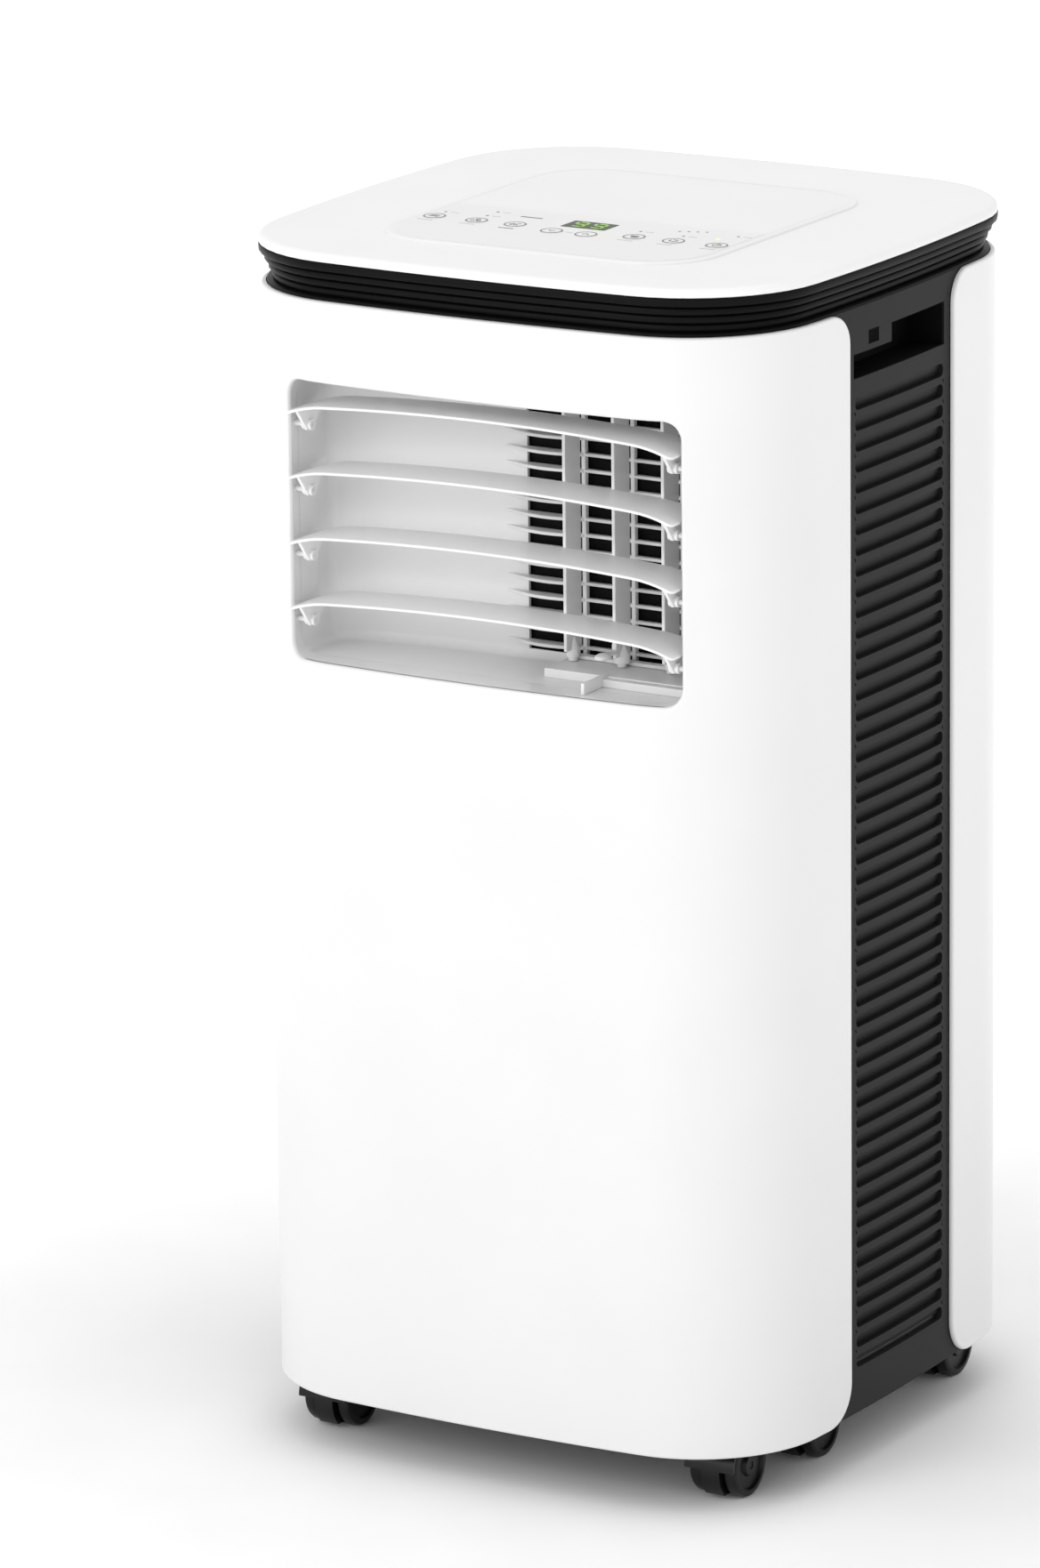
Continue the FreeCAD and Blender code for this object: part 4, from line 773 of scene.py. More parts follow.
@dataclass
class Covers:
    """White front and rear covers.

    Attributes:
        wall: Thickness of the moulding.
        low: Lower edge.
        high: Upper edge.
        seam: Distance of the side seams from the middle plane.
        top_corner: Radius of the upper corners beside the side panels.
        foot_corner: Radius of the lower corners beside the side panels.
        outlet_half: Half width of the air outlet.
        outlet: Lower and upper edges of the air outlet.
        outlet_corner: Radius of the air outlet's corners.
        return_back: Where the flange behind the air outlet ends.
        bore: Depths between which the round holes in the rear are cut.
    """

    wall: float = 2.5 * MM
    low: float = 30.0 * MM
    high: float = 632.5 * MM
    seam: float = 57.0 * MM
    top_corner: float = 17.0 * MM
    foot_corner: float = 22.0 * MM
    outlet_half: float = 118.5 * MM
    outlet: Span = (438.3 * MM, 588.8 * MM)
    outlet_corner: float = 10.0 * MM
    return_back: float = -145.0 * MM
    bore: Span = (140.0 * MM, 180.0 * MM)

    @property
    def reach(self) -> float:
        """Length of a cover from its middle to its seam."""
        return OUTLINE.quarter - self.seam_length

    @property
    def seam_length(self) -> float:
        """Length along the outline from the middle of a side to the seam."""
        return OUTLINE.bow * math.asin(self.seam / OUTLINE.bow)

    def length_at(self, across: float) -> float:
        """Length along the outline at which the front reaches a distance from its middle.

        Args:
            across: Distance from the middle.

        Returns:
            The length.
        """
        low, high = 0.0, OUTLINE.quarter
        for _ in range(40):
            middle = (low + high) / 2.0
            if OUTLINE.at(middle)[0].x < across:
                low = middle
            else:
                high = middle
        return low

    def plate(self, x: Span, z: Span, radius: float = 0.0) -> bmesh.types.BMesh:
        """Make a flat cover with its opening.

        Args:
            x: Ends of the opening along the cover.
            z: Lower and upper edges of the opening.
            radius: Radius of the opening's corners, zero for square ones.

        Returns:
            The mesh, still flat.
        """
        mesh = flat_sheet((-self.reach, self.reach), (self.low, self.high))
        punch(mesh, [(x, z)])
        thicken(mesh, self.wall)
        if radius:
            round_depth_edges(mesh, [(a, b) for a in x for b in z], radius)
        ends = (-self.reach, self.reach)
        round_depth_edges(mesh, [(end, self.high) for end in ends], self.top_corner, 10)
        round_depth_edges(mesh, [(end, self.low) for end in ends], self.foot_corner, 10)
        soften(mesh, 1.5 * MM, 3, keep=front_rim)
        return mesh

    def wrapped(self, mesh: bmesh.types.BMesh, start: float) -> bmesh.types.BMesh:
        """Slice a flat cover and bend it to the outline.

        Args:
            mesh: Flat cover.
            start: Length along the outline at the cover's middle.

        Returns:
            The bent cover.
        """
        slice_at(mesh, 0, OUTLINE.stations(-self.reach, self.reach))
        OUTLINE.wrap(mesh, start)
        bmesh.ops.recalc_face_normals(mesh, faces=mesh.faces)
        return mesh

    def outlet_return(self) -> bmesh.types.BMesh:
        """Flange that runs back from the rim of the outlet.

        Returns:
            The mesh.
        """
        half, edge = self.outlet_half, self.wall
        mesh = flat_sheet((-half - edge, half + edge), (self.outlet[0] - edge, self.outlet[1] + edge))
        punch(mesh, [((-half, half), self.outlet)])
        thicken(mesh, 1.0)
        round_depth_edges(mesh, [(x, z) for x in (-half, half) for z in self.outlet], self.outlet_corner)
        outer = [(x, z) for x in (-half - edge, half + edge)
                 for z in (self.outlet[0] - edge, self.outlet[1] + edge)]
        round_depth_edges(mesh, outer, self.outlet_corner + edge)
        slice_at(mesh, 0, [half * step / 14 for step in range(-13, 14)])
        for vert in mesh.verts:
            if vert.co.y > 0.5:
                vert.co.y = self.return_back
            else:
                point, _ = OUTLINE.at(math.copysign(self.length_at(abs(vert.co.x)), vert.co.x))
                vert.co.y = point.y + 1.4 * MM
        return mesh

    def build(self) -> list[bpy.types.Object]:
        """Build both covers.

        Returns:
            The pieces.
        """
        reach = self.length_at(self.outlet_half)
        front = self.wrapped(self.plate((-reach, reach), self.outlet, self.outlet_corner), 0.0)
        front_piece = finish_piece(front, "cover_front_shell", "cabinet", WHITE_SHELL)
        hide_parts("front_cover")
        flange = finish_piece(self.outlet_return(), "cover_outlet_return", "cabinet",
                              WHITE_SHELL)
        low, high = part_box("intake_grille")
        window = self.length_at(high.x + 0.5 * MM)
        intake = self.plate((-window, window), (low.z - 0.5 * MM, high.z + 0.5 * MM))
        rear = self.wrapped(intake, 2.0 * OUTLINE.quarter)
        rear_piece = finish_piece(rear, "cover_rear_shell", "cabinet", WHITE_SHELL)
        self.cut_port(rear_piece)
        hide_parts("rear_cover")
        return [front_piece, flange, rear_piece]

    def cut_port(self, cover: bpy.types.Object) -> None:
        """Cut the round holes for the hose port, the spout and the lead's gland.

        Args:
            cover: Rear cover.
        """
        mesh = bmesh.new()
        for node, gap in (("exhaust_port", 0.5 * MM), ("drain_plug", 1.2 * MM), ("cord_gland", -2.6 * MM)):
            low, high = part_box(node)
            size = high.z - low.z if node == "exhaust_port" else high.x - low.x
            middle = middle_of(node)
            start = Vector((middle.x, self.bore[0], middle.z))
            rod_mesh(mesh, start, Vector((middle.x, self.bore[1], middle.z)), size / 2.0 + gap, 96)
        cut_away(cover, mesh)


COVERS = Covers()


# ---------------------------------------------------------------- side panels

@dataclass
class SidePanels:
    """Dark louvred side panels with a hand hold.

    Attributes:
        inset: Depth of the face inside the outline.
        half: Half length of the panel along the outline.
        low: Lower edge.
        high: Upper edge.
        skin: Thickness of the moulding.
        groove_half: Half length of a groove.
        groove_top: Upper level of the top groove.
        groove_height: Height of a groove.
        groove_pitch: Distance from one groove to the next.
        groove_count: Number of grooves.
        upper_depth: Depth of a groove at its upper edge.
        lower_depth: Depth of a groove at its lower edge.
        grip: Span along the panel and span in height of the hand hold.
        lift: The same for the recess above it.
        notch: The same for the small notch beside it.
        cup_depth: Depth of the pocket behind the hand hold.
    """

    inset: float = 2.8 * MM
    half: float = 72.0 * MM
    low: float = 31.0 * MM
    high: float = 632.5 * MM
    skin: float = 1.3 * MM
    groove_half: float = 48.5 * MM
    groove_top: float = 585.2 * MM
    groove_height: float = 7.0 * MM
    groove_pitch: float = 11.11 * MM
    groove_count: int = 48
    upper_depth: float = 1.6 * MM
    lower_depth: float = 3.6 * MM
    grip: tuple[Span, Span] = ((-50.0 * MM, 50.0 * MM), (595.0 * MM, 608.0 * MM))
    lift: tuple[Span, Span] = ((-10.0 * MM, 50.0 * MM), (607.9 * MM, 618.0 * MM))
    notch: tuple[Span, Span] = ((-34.5 * MM, -23.5 * MM), (611.0 * MM, 618.5 * MM))
    cup_depth: float = 25.0 * MM

    def grooves(self) -> list[Span]:
        """Lower and upper level of each groove."""
        tops = [self.groove_top - step * self.groove_pitch for step in range(self.groove_count)]
        return [(top - self.groove_height, top) for top in tops]

    def flat(self, side: int) -> bmesh.types.BMesh:
        """Make the flat panel of one side, with the front edge on the right side.

        Args:
            side: 1 for the right side, -1 for the left.

        Returns:
            The mesh, still flat.
        """
        mesh = flat_sheet((-self.half, self.half), (self.low, self.high))
        across = (-self.groove_half, self.groove_half)
        slice_at(mesh, 0, across)
        for span in self.grooves():
            slice_at(mesh, 2, span)
        punch(mesh, (self.grip, self.lift, self.notch))
        for span in self.grooves():
            region = [face for face in mesh.faces if inside(face, across, span) and abs(face.normal.y) > 0.9]
            made = bmesh.ops.extrude_face_region(mesh, geom=region)["geom"]
            bmesh.ops.delete(mesh, geom=region, context="FACES_ONLY")
            for vert in made:
                if isinstance(vert, bmesh.types.BMVert):
                    share = (vert.co.z - span[0]) / (span[1] - span[0])
                    vert.co.y += self.lower_depth + (self.upper_depth - self.lower_depth) * share
        corners = [(x, z) for x in across for span in self.grooves() for z in span]
        round_depth_edges(mesh, corners, 3.0 * MM, 5)
        if side < 0:
            bmesh.ops.scale(mesh, verts=mesh.verts, vec=(-1.0, 1.0, 1.0))
        bmesh.ops.translate(mesh, verts=mesh.verts, vec=(0.0, self.inset, 0.0))
        slice_at(mesh, 0, [self.half * step / 9 for step in range(-8, 9)])
        bmesh.ops.recalc_face_normals(mesh, faces=mesh.faces)
        if sum(face.normal.y for face in mesh.faces if abs(face.normal.y) > 0.95) > 0.0:
            bmesh.ops.reverse_faces(mesh, faces=mesh.faces)
        return mesh

    def cup(self, side: int) -> bmesh.types.BMesh:
        """Pocket behind the hand hold.

        Args:
            side: 1 for the right side, -1 for the left.

        Returns:
            The mesh, still flat.
        """
        mesh = bmesh.new()
        (x, z), (_, high) = self.grip, self.lift
        low = (x[0] - 0.5 * MM, self.inset + self.skin, z[0] - 0.5 * MM)
        box_mesh(mesh, low, (x[1] + 0.5 * MM, self.cup_depth, high[1] + 8.0 * MM))
        front = [face for face in mesh.faces if face.calc_center_median().y < low[1] + 1e-5]
        bmesh.ops.delete(mesh, geom=front, context="FACES")
        bmesh.ops.reverse_faces(mesh, faces=mesh.faces)
        if side < 0:
            bmesh.ops.scale(mesh, verts=mesh.verts, vec=(-1.0, 1.0, 1.0))
            bmesh.ops.reverse_faces(mesh, faces=mesh.faces)
        slice_at(mesh, 0, [x[1] * step / 4 for step in range(-3, 4)])
        return mesh

    def build(self) -> list[bpy.types.Object]:
        """Build both panels.

        Returns:
            The pieces.
        """
        pieces = []
        for side, word in ((1, "right"), (-1, "left")):
            mesh = self.flat(side)
            OUTLINE.wrap(mesh, side * OUTLINE.quarter)
            panel = finish_piece(mesh, f"side_louvres_{word}", "cabinet", CHARCOAL, 40.0, False)
            give_wall(panel, self.skin)
            weigh_shading(panel)
            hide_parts(f"side_panel_{word}")
            cup = self.cup(side)
            OUTLINE.wrap(cup, side * OUTLINE.quarter)
            pocket = finish_piece(cup, f"side_hand_hold_{word}", "cabinet", INNER_BLACK_AND_SHADE)
            give_wall(pocket, 1.0 * MM)
            pieces += [panel, pocket]
        return pieces


# ---------------------------------------------------------------- collar and lid

@dataclass
class Crown:
    """Ribbed collar and lid.

    Attributes:
        base: Lower edge of the collar.
        lid_base: Lower face of the lid.
        lid_top: Upper face of the lid in the middle.
        overhang: How far both stand out past the outline.
        ledge: Inset of the inner edge of both.
        lip_shape: Inset and level in mm of the collar's upper lip, from its outer edge.
        rib_shape: Inset and level in mm of one rib, from its outer edge.
        rib_depths: Inset in mm of each rib.
        rib_start: Drop in mm from the lid to the first rib.
        rib_pitch: Drop in mm from one rib to the next.
        foot_shape: Inset and level in mm of the collar's foot, from its lower edge.
        dome: Rise of the lid towards its middle.
        bend: Radius of the lid's rim.
        rings: Insets in mm of the rings on the lid's top.
        ring_limit: Inset from which a ring is scaled and no longer offset.
    """

    base: float = 632.5 * MM
    lid_base: float = 653.5 * MM
    lid_top: float = 659.0 * MM
    overhang: float = 1.4 * MM
    ledge: float = 14.0 * MM
    lip_shape: tuple[Span, ...] = (
        (1.0, 0.0), (0.2, -0.4), (0.0, -1.2), (0.2, -4.0), (1.0, -4.8), (4.2, -5.2))
    rib_shape: tuple[Span, ...] = (
        (2.6, 0.0), (0.5, -0.25), (0.0, -0.9), (0.1, -3.2), (0.8, -3.9), (4.2, -4.3))
    rib_depths: tuple[float, ...] = (1.6, 3.8, 5.6)
    rib_start: float = 5.6
    rib_pitch: float = 4.7
    foot_shape: tuple[Span, ...] = ((7.5, 1.9), (3.4, 1.6), (2.9, 1.0), (2.9, -2.0))
    dome: float = 0.6 * MM
    bend: float = 3.6 * MM
    rings: tuple[float, ...] = (12.0, 26.0, 45.0, 70.0, 100.0, 130.0)
    ring_limit: float = 70.0 * MM

    def collar(self) -> bpy.types.Object:
        """Stack of ribs that step inwards under the lid.

        Returns:
            The piece.
        """
        lip, top = -self.overhang, self.lid_base
        shape = [(lip + inset * MM, top + level * MM) for inset, level in self.lip_shape]
        for step, depth in enumerate(self.rib_depths):
            start = top - (self.rib_start + step * self.rib_pitch) * MM
            shape += [((depth + inset) * MM, start + level * MM) for inset, level in self.rib_shape]
        shape += [(inset * MM, self.base + level * MM) for inset, level in self.foot_shape]
        shape += [(self.ledge, self.base - 2.0 * MM), (self.ledge, top)]
        mesh = sweep_outline(shape, True)
        piece = finish_piece(mesh, "collar_ribs", "cabinet", COLLAR_BLACK, 50.0, False)
        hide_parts("trim_collar")
        return piece

    def lid(self) -> bpy.types.Object:
        """Lid with a rounded rim and a slightly domed top.

        Returns:
            The piece.
        """
        rim, low, edge = -self.overhang, self.lid_base, self.lid_top - self.dome
        shape = [(self.ledge, low + 1.0 * MM), (self.ledge, low), (rim + 0.8 * MM, low),
                 (rim + 0.15 * MM, low + 0.4 * MM), (rim, low + 1.0 * MM)]
        for step in range(7):
            angle = math.pi / 2.0 * step / 6
            inset, drop = self.bend * (1.0 - math.cos(angle)), self.bend * (1.0 - math.sin(angle))
            shape.append((rim + inset, edge - drop))
        for inset in self.rings:
            share = (inset * MM + 0.01) / (OUTLINE.half + 0.01)
            shape.append((inset * MM, edge + self.dome * (1.0 - (1.0 - share) ** 3)))
        mesh = bmesh.new()
        loops = [OUTLINE.loop(mesh, min(inset, self.ring_limit), level) for inset, level in shape]
        for (inset, _), loop in zip(shape, loops):
            if inset > self.ring_limit:
                factor = (OUTLINE.half - inset) / (OUTLINE.half - self.ring_limit)
                verts = list({vert for edge in loop for vert in edge.verts})
                bmesh.ops.scale(mesh, verts=verts, vec=(factor, factor, 1.0))
        for before, after in zip(loops, loops[1:]):
            bmesh.ops.bridge_loops(mesh, edges=before + after)
        bmesh.ops.contextual_create(mesh, geom=loops[-1])
        bmesh.ops.recalc_face_normals(mesh, faces=mesh.faces)
        piece = finish_piece(mesh, "lid_shell", "cabinet", WHITE_LID, 60.0, False)
        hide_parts("top_lid")
        return piece

    def build(self) -> list[bpy.types.Object]:
        """Build the collar and the lid."""
        return [self.collar(), self.lid()]


# ---------------------------------------------------------------- control panel

class Mark(Enum):
    """Pictogram on a key."""

    SWING = "key_swing"
    SPEED = "key_speed"
    TIMER = "key_timer"
    DOWN = "key_down"
    UP = "key_up"
    SLEEP = "key_sleep"
    MODE = "key_mode"
    POWER = "key_power"


@dataclass
class ControlPanel:
    """Raised panel on the lid with its keys, lamps and display.

    Attributes:
        half: Half width of the panel.
        front: Front edge.
        back: Back edge.
        corner: Radius of the corners.
        top: Level of the upper face.
        rise: Thickness of the panel.
        border: Width of the border outside the shallow line.
        rim: Width of the soft rim.
        film_back: Back edge of the film under the keys.
        film_skin: Height of the film above the panel.
        stroke: Width of a pictogram's lines.
        key_radius: Radius of a key.
        key_gap: Gap round a key.
        key_skin: Thickness of a key's cap.
        well: Depth of the wells that the keys sink into.
        digit: Width and half height of a digit.
        digit_place: Distance of each digit from the display's middle.
        segment: Width of a digit's segments.
        lamps: Places of the small lamps, in mm from the lid's middle.
    """

    half: float = 98.0 * MM
    front: float = -116.0 * MM
    back: float = 100.0 * MM
    corner: float = 38.0 * MM
    top: float = 660.0 * MM
    rise: float = 2.0 * MM
    border: float = 3.4 * MM
    rim: float = 1.1 * MM
    film_back: float = -21.0 * MM
    film_skin: float = 0.1 * MM
    stroke: float = 0.75 * MM
    key_radius: float = 6.0 * MM
    key_gap: float = 0.12 * MM
    key_skin: float = 0.62 * MM
    well: float = 0.97 * MM
    digit: Span = (6.4 * MM, 5.0 * MM)
    digit_place: float = 5.6 * MM
    segment: float = 1.6 * MM
    lamps: tuple[tuple[float, float], ...] = (
        (-86.0, -46.0), (-61.0, -45.0), (-61.0, -34.0), (32.0, -44.5), (58.0, -45.0), (84.0, -33.0))

    def slab(self, x: Span, y: Span, z: Span, front_corner: float, back_corner: float) -> bmesh.types.BMesh:
        """Flat slab with rounded corners.

        Args:
            x: Left and right ends.
            y: Front and back ends.
            z: Lower and upper faces.
            front_corner: Radius of both front corners.
            back_corner: Radius of both back corners, zero for square ones.

        Returns:
            The mesh.
        """
        mesh = bmesh.new()
        box_mesh(mesh, (x[0], y[0], z[0]), (x[1], y[1], z[1]))
        for place, radius in ((y[0], front_corner), (y[1], back_corner)):
            edges = [edge for edge in mesh.edges
                     if all(abs(vert.co.y - place) < 1e-6 for vert in edge.verts)
                     and abs(edge.verts[0].co.z - edge.verts[1].co.z) > 1e-6]
            if radius:
                bevel(mesh, edges, radius, 14)
        return mesh

    def plateau(self) -> bpy.types.Object:
        """Raised panel with a soft rim and a shallow line inside it.

        Returns:
            The piece.
        """
        mesh = self.slab((-self.half, self.half), (self.front, self.back), (self.top - self.rise, self.top),
                         self.corner, self.corner)
        upper = max(mesh.faces, key=lambda face: face.calc_center_median().z)
        bevel(mesh, list(upper.edges), self.rim, 4)
        upper = max(mesh.faces, key=lambda face: (round(face.calc_center_median().z, 6), face.calc_area()))
        line = ((self.border - self.rim, 0.0), (0.7 * MM, -0.3 * MM), (0.8 * MM, 0.22 * MM))
        for width, drop in line:
            bmesh.ops.inset_region(mesh, faces=[upper], thickness=width, depth=drop, use_even_offset=True)
        piece = finish_piece(mesh, "panel_plateau", "cabinet", PANEL_WHITE, 50.0)
        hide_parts("control_panel")
        return piece

    def film(self) -> bpy.types.Object:
        """Pale grey film under the keys.

        Returns:
            The piece.
        """
        edge = self.border + 2.2 * MM
        mesh = self.slab((edge - self.half, self.half - edge), (self.front + edge, self.film_back),
                         (self.top - 0.3 * MM, self.top + self.film_skin), self.corner - edge, 0.0)
        return finish_piece(mesh, "panel_key_film", "cabinet", KEY_FILM)

    def sockets(self) -> bmesh.types.BMesh:
        """Round wells that the keys sink into.

        Returns:
            Shapes to cut away.
        """
        mesh = bmesh.new()
        for mark in Mark:
            middle = middle_of(mark.value)
            middle.z = self.top
            rod_mesh(mesh, middle - up(self.well), middle + up(1.0 * MM), self.key_radius + self.key_gap, 48)
        return mesh

    def key(self, mark: Mark) -> list[bpy.types.Object]:
        """Make one key and its mark.

        Args:
            mark: Pictogram of the key.

        Returns:
            The cap and the mark.
        """
        middle, radius = middle_of(mark.value), self.key_radius
        top = middle.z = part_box(mark.value)[1].z
        mesh = bmesh.new()
        rod_mesh(mesh, middle - up(self.key_skin), middle, radius, 48)
        soften(mesh, 0.2 * MM, 2, keep=lambda edge: min(vert.co.z for vert in edge.verts) > top - 1e-5)
        cap = finish_piece(mesh, f"{mark.value}_cap", mark.value, KEY_FILM)
        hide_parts(mark.value)
        ink = bmesh.new()
        flat_ring(ink, middle, radius, radius - self.stroke)
        self.draw(ink, mark, middle)
        return [cap, finish_marks(ink, f"{mark.value}_mark", mark.value, INK_GREY)]

    def draw(self, ink: bmesh.types.BMesh, mark: Mark, middle: Vector) -> None:
        """Draw a key's pictogram.

        Args:
            ink: Mesh of the printed marks.
            mark: Which pictogram.
            middle: Middle of the key's top.
        """
        def spot(across: float, along: float) -> Vector:
            """Point on the key, in mm from its middle."""
            return middle + Vector((across * MM, along * MM, 0.0))

        line = self.stroke
        if mark is Mark.SWING:
            for row in (-1.6, 0.0, 1.6):
                flat_bar(ink, spot(-2.6, row - 0.5), spot(0.2, row + 0.6), line)
                flat_bar(ink, spot(0.2, row + 0.6), spot(2.7, row - 0.3), line)
        elif mark is Mark.SPEED:
            flat_disc(ink, middle, 0.7 * MM)
            for step in range(3):
                turn = math.radians(90.0 + 120.0 * step)
                flat_ring(ink, middle + Vector((math.cos(turn), math.sin(turn), 0.0)) * 2.2 * MM,
                          1.35 * MM, 0.75 * MM, 16)
        elif mark is Mark.TIMER:
            trace = ((-2.8, -1.2), (-1.2, 0.8), (0.2, -0.6), (2.6, 2.0))
            for start, end in zip(trace, trace[1:]):
                flat_bar(ink, spot(*start), spot(*end), line * 1.3)
            for across in (-1.6, 0.2, 2.0):
                flat_bar(ink, spot(across, -2.6), spot(across, -1.4), line * 1.2)
        elif mark in (Mark.DOWN, Mark.UP):
            way = 1.0 if mark is Mark.UP else -1.0
            flat_bar(ink, spot(-1.9, -0.9 * way), spot(0.0, 1.1 * way), line)
            flat_bar(ink, spot(0.0, 1.1 * way), spot(1.9, -0.9 * way), line)
        elif mark is Mark.SLEEP:
            flat_disc(ink, spot(0.4, -0.1), 2.4 * MM, 24)
            flat_bar(ink, spot(-2.8, 1.9), spot(-1.2, 1.9), line)
        elif mark is Mark.MODE:
            for step in range(3):
                turn = math.radians(30.0 + 120.0 * step)
                first = Vector((math.cos(turn), math.sin(turn), 0.0)) * 2.6 * MM
                second = Vector((math.cos(turn + 1.5), math.sin(turn + 1.5), 0.0)) * 2.6 * MM
                flat_bar(ink, middle + first, middle + second, line * 1.2)
        else:
            flat_ring(ink, middle, 2.7 * MM, 2.0 * MM, 24)
            flat_bar(ink, spot(0.0, 0.4), spot(0.0, 3.6), line)

    def lamps_and_labels(self) -> list[bpy.types.Object]:
        """Small lamps, scale marks and pale strokes beside the keys.

        Returns:
            The pieces.
        """
        level = self.top + self.film_skin
        dark, pale, lit = bmesh.new(), bmesh.new(), bmesh.new()

        def spot(across: float, along: float) -> Vector:
            """Point on the film, in mm from the lid's middle."""
            return Vector((across * MM, along * MM, level))

        for across, along in self.lamps:
            flat_disc(dark, spot(across, along), 0.9 * MM)
            flat_bar(pale, spot(across + 3.0, along), spot(across + 8.0, along), 0.7 * MM)
        for step in range(4):
            flat_disc(dark, spot(50.0 + 4.6 * step, -35.0 + 1.6 * step), 0.8 * MM)
        flat_bar(dark, spot(-44.0, -38.6), spot(-31.0, -38.6), 1.5 * MM)
        flat_bar(dark, spot(-40.0, -69.0), spot(-31.0, -69.0), 1.1 * MM)
        flat_bar(pale, spot(-2.2, -64.0), spot(2.2, -64.0), 0.7 * MM)
        for across in (-85.4, -59.6, 36.0, 59.6, 85.4):
            flat_bar(pale, spot(across - 4.5, -68.5), spot(across + 4.5, -68.5), 0.9 * MM)
        flat_disc(lit, spot(78.0, -44.0), 1.2 * MM)
        return [
            finish_marks(dark, "panel_lamps", "cabinet", INK_GREY),
            finish_marks(pale, "panel_labels", "cabinet", INK_PALE),
            finish_marks(lit, "panel_lamp_lit", "cabinet", LAMP_YELLOW),
        ]

    def display(self) -> list[bpy.types.Object]:
        """Dark window with two seven-segment digits.

        Returns:
            The pieces.
        """
        low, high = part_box("display_window")
        glass = self.slab((low.x, high.x), (low.y, high.y), (self.top - 1.0 * MM, self.top + 0.25 * MM),
                          0.8 * MM, 0.8 * MM)
        soften(glass, 0.15 * MM, 2)
        pane = finish_piece(glass, "display_pane", "cabinet", DISPLAY_DARK)
        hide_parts("display_window")
        digits = bmesh.new()
        middle = middle_of("display_window")
        middle.z = self.top + 0.27 * MM
        width, height = self.digit
        side, rise = Vector((width / 2, 0.0, 0.0)), Vector((0.0, height, 0.0))
        gap_x, gap_y = Vector((0.9 * MM, 0.0, 0.0)), Vector((0.0, 0.6 * MM, 0.0))
        for across in (-self.digit_place, self.digit_place):
            base = middle + Vector((across, 0.0, 0.0))
            for level in (rise, Vector(), -rise):
                flat_bar(digits, base - side + gap_x + level, base + side - gap_x + level, self.segment)
            for end, way in ((-side, 1.0), (side, 1.0), (side, -1.0)):
                flat_bar(digits, base + end + gap_y * way, base + end + (rise - gap_y) * way, self.segment)
        return [pane, finish_marks(digits, "display_digits", "cabinet", DIGIT_GREEN)]

    def build(self) -> list[bpy.types.Object]:
        """Build the panel and everything on it.

        Returns:
            The pieces.
        """
        pieces = [self.plateau(), self.film()]
        for piece in pieces:
            cut_away(piece, self.sockets())
        for mark in Mark:
            pieces += self.key(mark)
        return pieces + self.lamps_and_labels() + self.display()


# ---------------------------------------------------------------- air outlet

